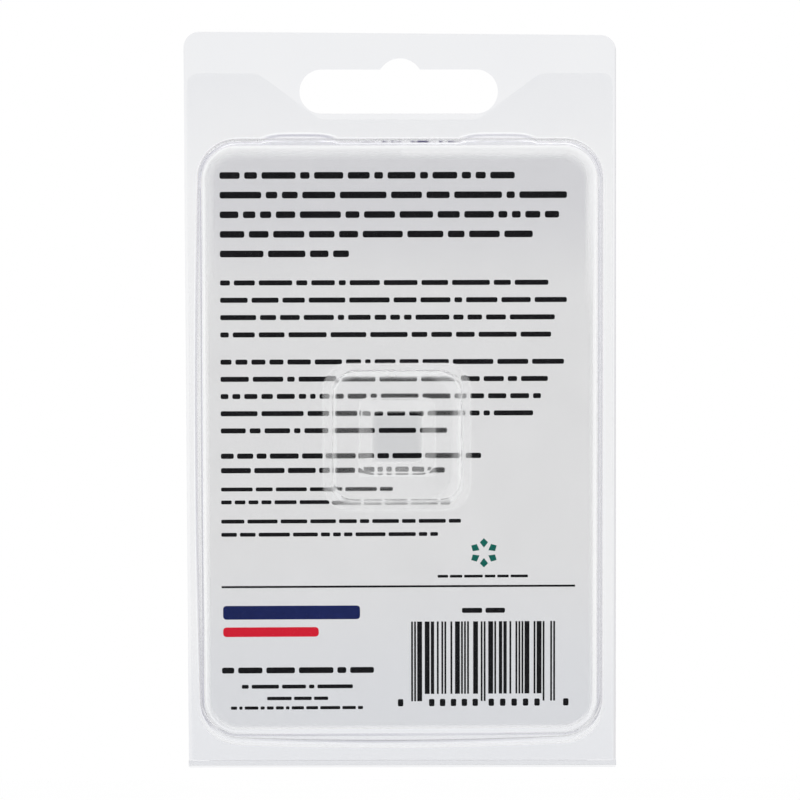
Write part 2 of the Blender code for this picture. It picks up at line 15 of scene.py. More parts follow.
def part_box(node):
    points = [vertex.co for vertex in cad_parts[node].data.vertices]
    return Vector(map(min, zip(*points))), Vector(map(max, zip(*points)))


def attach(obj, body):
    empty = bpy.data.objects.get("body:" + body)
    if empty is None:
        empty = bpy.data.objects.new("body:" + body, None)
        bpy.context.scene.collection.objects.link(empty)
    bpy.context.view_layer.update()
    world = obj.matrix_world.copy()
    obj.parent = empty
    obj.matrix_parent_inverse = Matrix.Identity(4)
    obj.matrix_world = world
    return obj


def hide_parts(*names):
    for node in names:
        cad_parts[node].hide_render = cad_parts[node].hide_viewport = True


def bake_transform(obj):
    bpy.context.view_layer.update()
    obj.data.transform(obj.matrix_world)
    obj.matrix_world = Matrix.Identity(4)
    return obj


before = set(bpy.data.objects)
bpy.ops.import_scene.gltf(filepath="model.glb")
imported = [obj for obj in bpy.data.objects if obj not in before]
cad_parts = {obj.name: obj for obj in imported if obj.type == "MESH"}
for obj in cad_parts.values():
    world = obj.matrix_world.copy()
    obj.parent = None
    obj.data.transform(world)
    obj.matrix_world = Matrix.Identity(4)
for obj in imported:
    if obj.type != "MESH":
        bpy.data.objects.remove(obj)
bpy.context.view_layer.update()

SCENE = bpy.context.scene
MM = 0.001


def in_mm(*values):
    return [value * MM for value in values]


# Sheet and the levels of the pack, from the frame
GAP = 0.3 * MM
SHEET = 0.5 * MM
FRONT_LOW, FRONT_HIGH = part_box("front_shell")
REAR_LOW, REAR_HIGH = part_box("rear_shell")
CARD_LOW, CARD_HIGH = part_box("insert_card")
FOLD_LOW, FOLD_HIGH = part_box("fold_hinge")
FOLD_Z = (FOLD_LOW.z + FOLD_HIGH.z) / 2
FOLD_R = (FOLD_HIGH.z - FOLD_LOW.z) / 2
FOLD_GAP = GAP / 6
PACK_HALF = FRONT_HIGH.x
PACK_TOP = FRONT_HIGH.z
FLANGE_BOTTOM = FRONT_LOW.z
PACK_CORNER = 3.5 * MM
EDGE_ROUND = 0.1 * MM  # rounding of the sheet's cut edges
TOP_FALL = 0.8 * MM  # the top edge is cut lower at +X
SIDE_LEAN = 0.3 * MM  # the sides are cut leaning to +X at the bottom
SIDE_TRIM = 0.3 * MM  # the side at -X is cut narrower
FOLD_FALL = 0.4 * MM  # the fold runs a little lower at +X
PLY_PITCH = GAP + SHEET
REAR_PLY = -PLY_PITCH / 2
FRONT_PLY = PLY_PITCH / 2

# Hang hole in the front ply and the notch around it in the rear ply
SLOT_X = -0.3 * MM
SLOT_W = 43 * MM
SLOT_H = 9.5 * MM
DOME_R = 5 * MM
DOME_H = 2.6 * MM
DOME_FLAT = 0.2 * MM  # the crown is cut this much flatter
REAR_HALF = REAR_HIGH.x
REAR_TOP = REAR_HIGH.z
REAR_CORNER = 2.6 * MM
NOTCH_TOP_OUT = 8.9 * MM
NOTCH_BOTTOM_IN = 4.45 * MM
NOTCH_BELOW_SLOT = 1.3 * MM
NOTCH_SHOULDER_R = 6 * MM
NOTCH_CORNER_R = 4 * MM

# Card pocket
PANEL_X = -0.3 * MM
PANEL_TOP = -17.6 * MM
SIDE_MARGIN = 2.85 * MM
BOTTOM_MARGIN = 5.5 * MM
PANEL_CORNER = 8.8 * MM
PANEL_RISE = 3 * MM
WALL_DRAFT = radians(12)
FOOT_R = 0.6 * MM
EDGE_R = 1.2 * MM
LUG_W = 16.8 * MM
LUG_OUT = 1.1 * MM
LUG_MARGIN = 5.45 * MM
BOW_OUT = 0.8 * MM
BOW_FADE_SHARE = 0.6
BOTTOM_RUN = 1.9 * MM
STEEP = 0.28 * MM  # the top wall stands steeper by this much,
RIGHT_STEEP = 0.45 * MM  # and the wall at +X by this much
LEFT_IN = 0.2 * MM  # the wall at -X stands further in by this much,
LEFT_FOOT_IN = 0.4 * MM  # and its foot by this much more
SIDE_BOW = 0.8 * MM  # the foot at -X bows out
TOP_SOFT_SHARE = 1.4  # the top edge is drawn over a larger radius,
TOP_SOFT_FROM_SHARE = 0.5  # from this share of the depth
PANEL_W = 2 * (PACK_HALF - SIDE_MARGIN)
PANEL_H = PANEL_TOP - FOLD_Z - BOTTOM_MARGIN
PANEL_Z = PANEL_TOP - PANEL_H / 2
LUG_X = PANEL_W / 2 - PANEL_CORNER - LUG_MARGIN - LUG_W / 2
PANEL_Y = REAR_PLY - PANEL_RISE
WALL_RUN = PANEL_RISE * tan(WALL_DRAFT)
PLUG_INSET = PLY_PITCH / cos(WALL_DRAFT) - PLY_PITCH * tan(WALL_DRAFT)

# Stepped square ring, centred on the magnet base
CUP_LOW, CUP_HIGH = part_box("magnet_cup")
CUP_R = (CUP_HIGH.x - CUP_LOW.x) / 2
AXIS_X = (CUP_LOW.x + CUP_HIGH.x) / 2
AXIS_Z = (CUP_LOW.z + CUP_HIGH.z) / 2
BASE = (AXIS_X, 0, AXIS_Z)
BOSS_HALF = 15.9 * MM
BOSS_CORNER = 5.7 * MM
BOSS_RISE = 3.5 * MM
BOSS_WALL_RUN = 2.2 * MM
BOSS_FILLET = 0.9 * MM
STEP_END = BOSS_HALF - 8.2 * MM
PIT_END = BOSS_HALF - 5.6 * MM
PLATEAU_DRIFT = 0.5 * MM
BOSS_Y = PANEL_Y - BOSS_RISE

# Bubble. Its foot clears the cup and runs out along the drafted wall
BUBBLE_Y = FRONT_HIGH.y - SHEET / 2
DECK_Y = CARD_HIGH.y + GAP + SHEET / 2
BUBBLE_DRAFT = radians(4)
BUBBLE_CORNER = 12 * MM
BUBBLE_FOOT_R = 1 * MM
BUBBLE_EDGE_R = 6 * MM
BUBBLE_RUN = (BUBBLE_Y - DECK_Y) * tan(BUBBLE_DRAFT)
BUBBLE_HALF = CUP_R + GAP + (CUP_HIGH.y - DECK_Y) * tan(BUBBLE_DRAFT) + SHEET / 2 / cos(BUBBLE_DRAFT)

# Numbers of steps in corners, in the fillets of the sheet and in ink
CORNER_STEPS = 18
FILLET_STEPS = 8
INK_STEPS = 3
FILLET_SHARE = 0.49  # a fillet takes at most this share of its shorter side
MITRE_SHARE = 0.5  # a sharp corner is drawn out no further than this allows
SMOOTH_ANGLE = radians(35)
MERGE = 0.001 * MM

# The printed card
CARD_X = (CARD_LOW.x + CARD_HIGH.x) / 2
CARD_FOOT = CARD_LOW.z + 0.5 * MM
CARD_Z = (CARD_FOOT + CARD_HIGH.z) / 2
CARD_CORNER = 6.7 * MM
INKS = ("stock", "black", "navy", "red", "green", "front", "band", "pale")
TEXT_LEFT = -39.1 * MM
TEXT_SIZES = {"bold": in_mm(1.45, 2.3), "regular": in_mm(1.1, 2), "small_bold": in_mm(1.15, 1.7),
              "small": in_mm(0.85, 1.55)}  # each bar's height and that of a capital
# Size, first baseline, pitch, and the lines' right ends, all in mm
TEXT_BLOCKS = (
    ("bold", -26.2, -4.23, (24.7, 36, 34.3, 28.6, -11.2)),
    ("regular", -49.2, -3.75, (32, 36, 33.4, 32.6)),
    ("regular", -66.35, -3.73, (35.4, 31.9, 30.4, 28.7, 10)),
    ("small_bold", -86.8, -3.15, (17.4, 9.5)),
    ("small", -93.9, -2.81, (-1.8, 10.6)),
    ("small", -100.9, -2.87, (13, 8)),
)
# Left, right, baseline, bar's height and capital of the single lines, all in mm
SINGLE_LINES = (
    (7.9, 27.6, -112.9, 0.6, 0.95),
    (-39.1, -6, -133.7, 1.3, 2),
    (-34.8, -10.6, -137.05, 0.85, 1.55),
    (-29.3, -16, -139.6, 0.75, 1.2),
    (-37.2, -8.4, -141.65, 0.7, 1.1),
    (13.2, 22.6, -120.65, 1.1, 1.7),
)
# Left, right, low, high and corner of the plain blocks on the back, all in mm
BACK_BLOCKS = {
    "black": (-39.1, 37.9, -115, -114.55, 0),
    "navy": (-38.8, -9, -121.9, -118.9, 0.7),
    "red": (-38.8, -18, -125.7, -123.6, 0.7),
}
# Ink, width, low, high and corner of the plain bars on the front, all in mm
FRONT_BARS = (
    ("band", 68, -46, -38, 2),
    ("pale", 44, -34, -30.5, 1),
    ("pale", 30, -28, -25.5, 0.8),
    ("band", 68, -127, -120, 2),
    ("pale", 52, -133.5, -131, 0.8),
    ("pale", 38, -138, -135.5, 0.8),
)
FRONT_BARS_END = CARD_X + 34 * MM
WORD_SHARES = (0.6, 4.6)  # shortest and longest word, in heights of a capital
WORD_GAP_SHARE = 0.42
LAST_WORD_SHARE = 1.2  # a word that ends nearer than this to the line's end runs up to it
WORD_ROUND_SHARE = 0.3
BAR_LEFT = 2.15 * MM
BAR_MODULE = 0.33 * MM
BAR_TOP = -122.5 * MM
BAR_BOTTOM = -138.4 * MM
BAR_SPREAD = 0.04 * MM  # the ink runs out by this much on each side
BAR_WIDTHS = (1, 1, 2, 3)
GUARDS = (0, 2, 46, 48, 92, 94)  # first modules of the guard bars, which are longer
GUARD_DROP = 1.6 * MM
HALF_STARTS = (4, 51)
HALF_MODULES = 41
BAR_SHORT = (9, 84)  # the bars between these modules are the short ones
# Small blocks below the bars: one at the left, both ends of two rows of five, and one at the right
DIGIT_X = in_mm(-0.2, 6.6, 16.1, 19.6, 29.6, 35.9)
DIGIT_Z = -140.3 * MM
DIGIT_W = 1.2 * MM
DIGIT_H = 1.6 * MM
DIGIT_ROUND = 0.3 * MM
KITE_PLACE = Vector(in_mm(18, -107.5))
KITE_R = 3.2 * MM
KITES = 6
KITE_SHARES = ((0.35, 0), (0.72, -0.28), (1, 0), (0.72, 0.28))

# The magnet base, its rivet and its washer
CUP_WALL = 3 * MM
CUP_FLOOR = 3 * MM
CUP_EDGE_R = 0.8 * MM
RIVET_R = 2.5 * MM
RIVET_HOLE_R = RIVET_R + GAP
RIVET_TAIL_T = 1.5 * MM
RIVET_HEAD_T = 1.2 * MM
RIVET_HEAD_R = 3.6 * MM
BORE_R = 5 * MM
POTTING_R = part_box("potting_ring")[1].x - AXIS_X - MM  # it is 1 mm wide
SMALL_EDGE_R = 0.3 * MM

# The turning yoke, its pin and the hook
YOKE_LOW, YOKE_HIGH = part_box("swivel_yoke")
PIN_LOW, PIN_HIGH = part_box("pivot_pin")
PIVOT_Y = (PIN_LOW.y + PIN_HIGH.y) / 2
PIVOT = (AXIS_X, PIVOT_Y, AXIS_Z)
YOKE_T = 2 * MM
PLATE_FRONT = YOKE_LOW.y + YOKE_T
YOKE_EDGE_R = 0.5 * MM
PLATE_R = 7.2 * MM
EAR_T = 2 * MM
EAR_TOP_R = 4 * MM
EAR_FOOT_HALF = 3.8 * MM
EAR_EDGE_R = 0.3 * MM
EAR_INNER = 4 * MM
PIN_R = 1.5 * MM
PIN_HEAD_T = 0.8 * MM
PIN_EDGE_R = 0.45 * MM
EYE_HOLE_R = PIN_R + GAP
EYE_WALL = 2 * MM
EYE_EDGE_R = 0.4 * MM
EYE_HALF = EAR_INNER - GAP
WIRE_R = 2 * MM
BOW_R = 6.8 * MM
BOW_DROP = 13.8 * MM
NECK_R = 3 * MM
BOW_OPEN = radians(30)
TIP_RUN = 1.6 * MM
TIP_R = 2.2 * MM
ROOT_SHARE = 0.33  # the wire starts inside the eye's wall

# Lines on the drawn rear sheet: strength, and how far inside an outline, in mm, each starts, is full,
# fades and ends. The foot, edge, low, fold, lug, solid and inside lines are painted shade on the walls,
# the dash line a painted reflection, the flange line a painted highlight, the bend haze partly painted
# light;
# the frost is roughness
FOOT_LINE = (0.85, -0.05, 0.12, 0.4, 0.6)
EDGE_LINE = (0.58, 0.85, 1, 1.2, 1.35)
LOW_LINE = (0.45, 1.15, 1.35, 1.75, 1.95)
FOLD_LINE = (0.5, 0.15, 0.4, 0.75, 1.2)
LUG_LINE = (1, 0.15, 0.3, 0.55, 0.75)
SOLID_LINE = (0.38, -0.1, 0.1, 0.65, 0.9)
INSIDE_LINE = (0.45, 0.6, 0.8, 1.2, 1.7)
DASH_LINE = (1, 0.45, 0.6, 0.75, 0.95)
FLANGE_HIGHLIGHT_LINE = (0.4, -1.15, -0.85, -0.4, -0.1)
WALL_FROST = (0.2, -0.3, 0.1, 0.9, 1.4)
BEND_HAZE_AND_PAINTED_LIGHT = (0.15, -0.6, -0.1, 0.3, 0.9)
INNER_BAND = (STEP_END - SHEET, STEP_END + 0.3 * MM, PIT_END - 0.3 * MM, PIT_END + SHEET)
PLATEAU_BAND = (0, BOSS_WALL_RUN, STEP_END, PIT_END)
# Fades from the pocket's top, its bottom and its nearer end: from nothing at the first to full at the last
TOP_FADE = in_mm(4, 2)
NOT_TOP_FADE = in_mm(8, 12)
UPPER_FADE = in_mm(45, 12)
LOW_FADE = in_mm(5, 2)
NEAR_FOLD_FADE = in_mm(10, 3.5)
FLANGE_FADE = in_mm(8, 2)
END_FADE = in_mm(12, 7)
# Fades by the distance inside an outline
RIM_FADE = in_mm(3, 1.5)
TOP_PAINTED_LIGHT_FADE = in_mm(5, 1)
UPPER_RIM_FADE = in_mm(4.5, 2.7)
FLAT_FADE = in_mm(1.2, 1.7)
OFF_CARD_FADE = in_mm(3.1, 2.8)
OUTSIDE_FADE = in_mm(0, -0.1)
OUTER_FADE = (-SHEET, 0.3 * MM)
SOFT_FADE = in_mm(0.8, -0.8)
PIT_FADE = (PIT_END - SHEET, PIT_END + 3 * SHEET)
SEAM_HALF = 1 * MM  # left and right pass into each other over this much on each side
SOFT_SHIFT = 1.2 * MM  # the ring's wall runs out softly, further so at +X
SOFT_HALF = 13.1 * MM
TOP_SPREAD = 1.75 * MM
TOP_SHIFT = 0.25 * MM
TOP_PAINTED_LIGHT_R = 11.5 * MM
FOLD_SPREAD = 1 * MM
# Place of the painted reflection that shows as dashes along the top
DASH_MIDDLE = 3.5 * MM
DASH_REACH = 14 * MM
DASH_SCALE = 330
DASH_FADE = (0.42, 0.56)
DASH_END_SHARE = 0.12
LUG_FADE = (0.1, 0.3)
FOOT_TOP_SHARE = 0.35
RIGHT_SHARE = 0.8
# Strength of the painted shade in the pit
PIT_SHADE_SHARE = 0.8
# Strengths of the painted light at the pocket's rim, at its top and up its sides
RIM_PAINTED_LIGHT = 0.52
TOP_PAINTED_LIGHT = 0.5
UPPER_PAINTED_LIGHTS = (0.2, 0.42)  # at -X and at +X
# Haze on the ring, partly the milkiness of the drawn sheet and partly painted light
PLATEAU_HAZE_AND_PAINTED_LIGHT = 0.032
WALL_HAZE_AND_PAINTED_LIGHT = 0.125
PLATEAU_FROST = 0.15

# Clear sheet: its tint deepens to the top and to the fold, and along its edge at +X, as painted shade
SHEET_IOR = 1.4
TOP_SHADE_FADE = in_mm(-34, 0)
LOW_SHADE_FADE = in_mm(-115, -154)
TOP_SHADE_SHARE = 0.6
PATCH_TINT = 0.05
EDGE_SHADE_FADE = (PACK_HALF - 0.5 * MM, PACK_HALF - 0.25 * MM)
SHEET_ROUGH = (0.02, 0.05)
WAVE_DEPTH = 0.04 * MM

# Card stock is a little darker behind the top of the sheet, a painted shadow, and cooler near its foot, a
# painted cool shade
CARD_TOP_SHADOW_FADE = (CARD_HIGH.z - 33 * MM, CARD_HIGH.z - 10 * MM)
CARD_TOP_SHADOW_SHARE = 0.55
CARD_TOP_SHADOW_SHARES = (0.8, 0.8, 0.84)
CARD_FOOT_SHADE_FADE = (CARD_LOW.z + 45 * MM, CARD_LOW.z + 5 * MM)
CARD_FOOT_SHADE_SHARES = (0.962, 0.975, 1)

# Noise stays near its middle, so it is stretched from these values
CLOUD_RANGE = (0.35, 0.65)
GRAIN_RANGE = (0.3, 0.7)

# Studio
FLOOR_Z = 2 * FOLD_Z - REAR_TOP - 15 * MM  # clear of the rear ply when it is folded out below
FLOOR_HALF = 0.9
FLOOR_GLOW = 0.5  # share of the floor that shows plain white
# What mirrored rays see, by the share of their direction: where each part fades in, and how dark it is
ROOM_FADE = (0.88, 0.97)
ROOM_DARK = 0.94
FLAG_FADE = (0.9, 0.97)
FLAG_DARK = 0.12
TABLE_FADE = (0.3, -0.6)
TABLE_DARK = 0.4
TOP_LIGHT_WAY = (0, -0.5, 0.866)
TOP_LIGHT_FADE = (0.8, 0.95)
TOP_LIGHT_GAIN = 0.6


# Outlines

def evenly(start, end, steps):
    return [start + (end - start) * step / steps for step in range(steps + 1)]


def arc(middle, radius, start, end, steps):
    turns = evenly(start, end, steps)
    return [(middle[0] + radius * cos(turn), middle[1] + radius * sin(turn)) for turn in turns]


def fillet(before, corner, after, radius, steps):
    if radius <= 0:
        return [corner]
    corner = Vector(corner)
    back = Vector(before) - corner
    ahead = Vector(after) - corner
    half = back.angle(ahead) / 2
    run = min(radius / tan(half), FILLET_SHARE * min(back.length, ahead.length))
    back.normalize()
    ahead.normalize()
    middle = corner + (back + ahead).normalized() * run * tan(half) / sin(half)
    start = corner + back * run - middle
    end = corner + ahead * run - middle
    sweep = pi - 2 * half
    arms = [start * sin(sweep - turn) + end * sin(turn) for turn in evenly(0, sweep, steps)]
    return [tuple(middle + arm / sin(sweep)) for arm in arms]


def rounded_path(corners, steps):
    """Round each corner (a, b, radius) of a closed path."""
    points = []
    for index, (a, b, radius) in enumerate(corners):
        before = corners[index - 1][:2]
        after = corners[(index + 1) % len(corners)][:2]
        points += fillet(before, (a, b), after, radius, steps)
    return points


def rounded_box(x, z, half_w, half_h, radius, steps=CORNER_STEPS):
    ways = ((1, -1), (1, 1), (-1, 1), (-1, -1))
    return rounded_path([(x + across * half_w, z + up * half_h, radius) for across, up in ways], steps)


def ply_outline(half, top, fall, corner, notch=()):
    """One ply of the flange, whose sides lean and whose lower end follows the fold."""
    left = SIDE_TRIM - half
    lean = SIDE_LEAN / 2
    low = FOLD_FALL / 2
    return rounded_path([
        (half + lean, FLANGE_BOTTOM - low, 0),
        (half - lean, top - fall / 2, corner),
        *notch,
        (left - lean, top + fall / 2, corner),
        (left + lean, FLANGE_BOTTOM + low, 0),
    ], CORNER_STEPS)


def notch_corners():
    low = -DOME_H - SLOT_H - NOTCH_BELOW_SLOT
    half = SLOT_W / 2 + NOTCH_TOP_OUT
    low_half = SLOT_W / 2 - NOTCH_BOTTOM_IN
    return [
        (SLOT_X + half, REAR_TOP, NOTCH_SHOULDER_R),
        (SLOT_X + low_half, low, NOTCH_CORNER_R),
        (SLOT_X - low_half, low, NOTCH_CORNER_R),
        (SLOT_X - half, REAR_TOP, NOTCH_SHOULDER_R),
    ]


def slot_outline():
    """A slot with round ends and a domed crown, which is centred on the pack."""
    end_r = SLOT_H / 2
    middle_z = -DOME_H - end_r
    reach = SLOT_W / 2 - end_r
    quarter = pi / 2
    spread = acos(1 - (DOME_H - DOME_FLAT) / DOME_R)
    points = arc((SLOT_X + reach, middle_z), end_r, -quarter, quarter, steps=28)
    points += arc((0, -DOME_R - DOME_FLAT), DOME_R, quarter - spread, quarter + spread, steps=18)
    return points + arc((SLOT_X - reach, middle_z), end_r, quarter, 3 * quarter, steps=28)


def pocket_loop(inset, y):
    """The card pocket's outline at one inset and level, with its snap bulges and bowed bottom."""
    depth = min(max((REAR_PLY - y) / PANEL_RISE, 0), 1)
    at_foot = 1 - depth
    lug = LUG_OUT * at_foot
    bow = BOW_OUT * (1 - BOW_FADE_SHARE * depth)
    side_bow = SIDE_BOW * at_foot
    trim = LEFT_IN + LEFT_FOOT_IN * at_foot
    right = RIGHT_STEEP * depth
    lean = BOTTOM_RUN * depth
    top = -STEEP * depth
    if depth > TOP_SOFT_FROM_SHARE:
        top += max(inset - WALL_RUN, 0) * TOP_SOFT_SHARE
    across = PANEL_X + (right + trim) / 2
    middle = PANEL_Z + (lean - top) / 2
    half_w = (PANEL_W + right - trim) / 2 - inset
    half_h = (PANEL_H - lean - top) / 2 - inset
    radius = PANEL_CORNER - inset
    box = rounded_box(across, middle, half_w, half_h, radius)
    quarter = len(box) // 4
    points = box[:2 * quarter]
    for side in (1, -1):
        for share in evenly(1, -1, steps=22):
            x = PANEL_X + side * LUG_X + share * LUG_W / 2
            points.append((x, middle + half_h + lug * (1 - share ** 4)))
    points += box[2 * quarter:3 * quarter]
    for share in evenly(1, -1, steps=16)[1:-1]:
        x = across - half_w - side_bow * (1 - share ** 2)
        points.append((x, middle + share * (half_h - radius)))
    points += box[3 * quarter:]
    for share in evenly(-1, 1, steps=30)[1:-1]:
        z = middle - half_h - bow * (1 - share ** 2)
        points.append((across + share * (half_w - radius), z))
    return points


def boss_loop(inset, y):
    half = BOSS_HALF - inset
    drift = PLATEAU_DRIFT * min(max((PANEL_Y - y) / BOSS_RISE, 0), 1)
    return rounded_box(AXIS_X, AXIS_Z + drift, half, half + drift / 2, BOSS_CORNER * half / BOSS_HALF)


def bubble_loop(inset, _y):
    half = BUBBLE_HALF - inset
    return rounded_box(AXIS_X, AXIS_Z, half, half, BUBBLE_CORNER - inset)


def offset_ring(points, distance):
    """Move each point of a closed outline to its left, which is inwards on these outlines."""
    count = len(points)
    moved = []
    for index in range(count):
        here = Vector(points[index])
        ahead = (Vector(points[(index + 1) % count]) - here).normalized()
        behind = (here - Vector(points[index - 1])).normalized()
        along = (ahead + behind).normalized()
        normal = Vector((-along.y, along.x))
        mitre = max(normal.dot(Vector((-ahead.y, ahead.x))), MITRE_SHARE)
        moved.append(tuple(here + normal * distance / mitre))
    return moved


# Mesh building

def mesh_object(name, bm, *materials, weighted=True):
    """A smooth object. With weighted normals, large flats stay flat where they run into a small fillet."""
    bmesh.ops.recalc_face_normals(bm, faces=bm.faces)
    mesh = bpy.data.meshes.new(name)
    bm.to_mesh(mesh)
    bm.free()
    obj = bpy.data.objects.new(name, mesh)
    SCENE.collection.objects.link(obj)
    for material in materials:
        mesh.materials.append(material)
    mesh.shade_smooth()
    mesh.set_sharp_from_angle(angle=SMOOTH_ANGLE)
    if weighted:
        modifier = obj.modifiers.new("weighted_normals", "WEIGHTED_NORMAL")
        modifier.mode = "FACE_AREA"
        modifier.weight = 100
        modifier.keep_sharp = True
    return obj


def seated(piece, body, node):
    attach(piece, body)
    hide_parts(node)


def add_ring(bm, points, y):
    return [bm.verts.new((x, y, z)) for x, z in points]


def ring_edges(bm, ring):
    pairs = zip(ring, ring[1:] + ring[:1])
    return [bm.edges.get(pair) or bm.edges.new(pair) for pair in pairs]


def join_row(bm, rings):
    """Join each ring to the next by four-sided faces."""
    for first, second in zip(rings, rings[1:]):
        for index in range(len(first)):
            bm.faces.new((first[index - 1], first[index], second[index], second[index - 1]))


def fill_flat(bm, rings, normal=(0, 1, 0)):
    """Fill the flat area between an outer ring and the rings inside it, and return the new faces."""
    edges = [edge_shade for ring in rings for edge_shade in ring_edges(bm, ring)]
    made = bmesh.ops.triangle_fill(bm, use_beauty=True, edges=edges, normal=normal)
    return [item for item in made["geom"] if isinstance(item, bmesh.types.BMFace)]


def section_side(points, side):
    """One face of a sheet whose middle runs through these (inset, y) points."""
    moved = []
    last = len(points) - 1
    for index, point in enumerate(points):
        along = Vector(points[min(index + 1, last)]) - Vector(points[max(index - 1, 0)])
        if index in (0, last):
            along = Vector((1, 0))
        along.normalize()
        moved.append((point[0] - along.y * side * SHEET / 2, point[1] + along.x * side * SHEET / 2))
    return moved


def wall_section(start_inset, start_y, end_inset, end_y, start_r, end_r):
    """Middle line of one formed wall as (inset, y) points, rounded where it meets the two flats."""
    over = abs(end_y - start_y)
    outside = (start_inset - over, start_y)
    start = (start_inset, start_y)
    end = (end_inset, end_y)
    inside = (end_inset + over, end_y)
    foot = fillet(outside, start, end, start_r, FILLET_STEPS)
    return foot + fillet(start, end, inside, end_r, steps=12)


def formed_sheet(name, material, outline, ply_y, holes, stages):
    """A sheet with its cut edges. Its stages are (middle line of a wall, loop), from the flange inwards."""
    bm = bmesh.new()
    rims = []
    for side in (-1, 1):
        face_y = ply_y + side * SHEET / 2
        flat = [add_ring(bm, offset_ring(outline, EDGE_ROUND), face_y)]
        flat += [add_ring(bm, offset_ring(hole, -EDGE_ROUND), face_y) for hole in holes]
        rims.append(flat)
        for line, loop in stages:
            rings = [add_ring(bm, loop(inset, y), y) for inset, y in section_side(line, side)]
            fill_flat(bm, [*flat, rings[0]])
            join_row(bm, rings)
            flat = [rings[-1]]
        fill_flat(bm, flat)
    for back, front, line in zip(rims[0], rims[1], [outline, *holes]):
        near = add_ring(bm, line, ply_y - SHEET / 2 + EDGE_ROUND)
        far = add_ring(bm, line, ply_y + SHEET / 2 - EDGE_ROUND)
        join_row(bm, [back, near, far, front])
    return mesh_object(name, bm, material)


def turned(corners, place, axis="Y", steps=96):
    """Turn a closed path of (radius, height, rounding) corners around an axis through the place."""
    section = rounded_path(corners, steps=6)
    bm = bmesh.new()
    rings = []
    for turn in evenly(0, tau, steps)[:-1]:
        ring = []
        for radius, height in section:
            a, b = radius * cos(turn), radius * sin(turn)
            point = (a, height, b) if axis == "Y" else (height, a, b)
            ring.append(bm.verts.new(Vector(place) + Vector(point)))
        rings.append(ring)
    join_row(bm, [*rings, rings[0]])
    bmesh.ops.remove_doubles(bm, verts=bm.verts, dist=MERGE)
    bmesh.ops.dissolve_degenerate(bm, edges=bm.edges, dist=MERGE)
    return bm


# Materials

def tinted(color, shares):
    return (*[min(channel * share, 1) for channel, share in zip(color, shares)], 1)


def scaled(color, share=1):
    return tinted(color, (share,) * 3)


class Nodes:
    def __init__(self, name, tree=None, space="Object"):
        if tree is None:
            self.material = bpy.data.materials.new(name)
            self.material.use_nodes = True
            tree = self.material.node_tree
        self.tree = tree
        self.tree.nodes.clear()
        self.place = self.add("TexCoord").outputs[space]

    def add(self, kind, inputs=None, **settings):
        node = self.tree.nodes.new("ShaderNode" + kind)
        for key, value in settings.items():
            setattr(node, key, value)
        for key, value in (inputs or {}).items():
            if isinstance(value, bpy.types.NodeSocket):
                self.tree.links.new(value, node.inputs[key])
            else:
                node.inputs[key].default_value = value
        return node

    def axes(self):
        return self.add("SeparateXYZ", {0: self.place}).outputs

    def math(self, operation, *values, clamp=False):
        """One operation over all the values, from the first to the last."""
        result = values[0]
        for value in values[1:] or (0,):
            result = self.add("Math", {0: result, 1: value}, operation=operation, use_clamp=clamp).outputs[0]
        return result

    times = partialmethod(math, "MULTIPLY")
    plus = partialmethod(math, "ADD")
    most = partialmethod(math, "MAXIMUM")
    minus = partialmethod(math, "SUBTRACT")
    size = partialmethod(math, "ABSOLUTE")

    def noise(self, scale, detail=2, roughness=0.5, vector=None):
        inputs = {"Vector": vector or self.place, "Scale": scale, "Detail": detail, "Roughness": roughness}
        return self.add("TexNoise", inputs).outputs["Fac"]

    def ramp(self, value, span, to_low=0, to_high=1, kind="LINEAR"):
        names = ("Value", "From Min", "From Max", "To Min", "To Max")
        inputs = dict(zip(names, (value, *span, to_low, to_high)))
        return self.add("MapRange", inputs, interpolation_type=kind).outputs["Result"]

    def fade(self, value, span, full=1):
        return self.ramp(value, span, 0, full, "SMOOTHSTEP")

    def mix(self, factor, a, b):
        return self.add("Mix", {0: factor, 6: a, 7: b}, data_type="RGBA").outputs[2]

    def either(self, factor, first, second):
        return self.add("MixShader", {0: factor, 1: first, 2: second}).outputs[0]

    def mirrored(self, times):
        """1 for rays that have been mirrored at least so many times."""
        return self.math("GREATER_THAN", self.ray("Glossy Depth"), times - 0.5)

    def clouded(self, cloud, color, low, high):
        return self.mix(self.ramp(cloud, CLOUD_RANGE), scaled(color, low), scaled(color, high))

    def surface(self, color, rough, height, strength, depth, more):
        """A Principled shader with its bump. What else it takes comes as a dictionary."""
        bump = self.add("Bump", {"Height": height, "Strength": strength, "Distance": depth}).outputs[0]
        inputs = {"Base Color": color, "Roughness": rough, "Normal": bump, **more}
        return self.add("BsdfPrincipled", inputs).outputs[0]

    def grained(self, color, roughs, grain, strength, depth, more):
        rough = self.ramp(grain, GRAIN_RANGE, *roughs)
        return self.finish(self.surface(color, rough, grain, strength, depth, more))

    def clear(self):
        return self.add("BsdfTransparent").outputs[0]

    def ray(self, kind):
        return self.add("LightPath").outputs[kind]

    def finish(self, shader):
        self.add("OutputMaterial", {"Surface": shader})
        return self.material


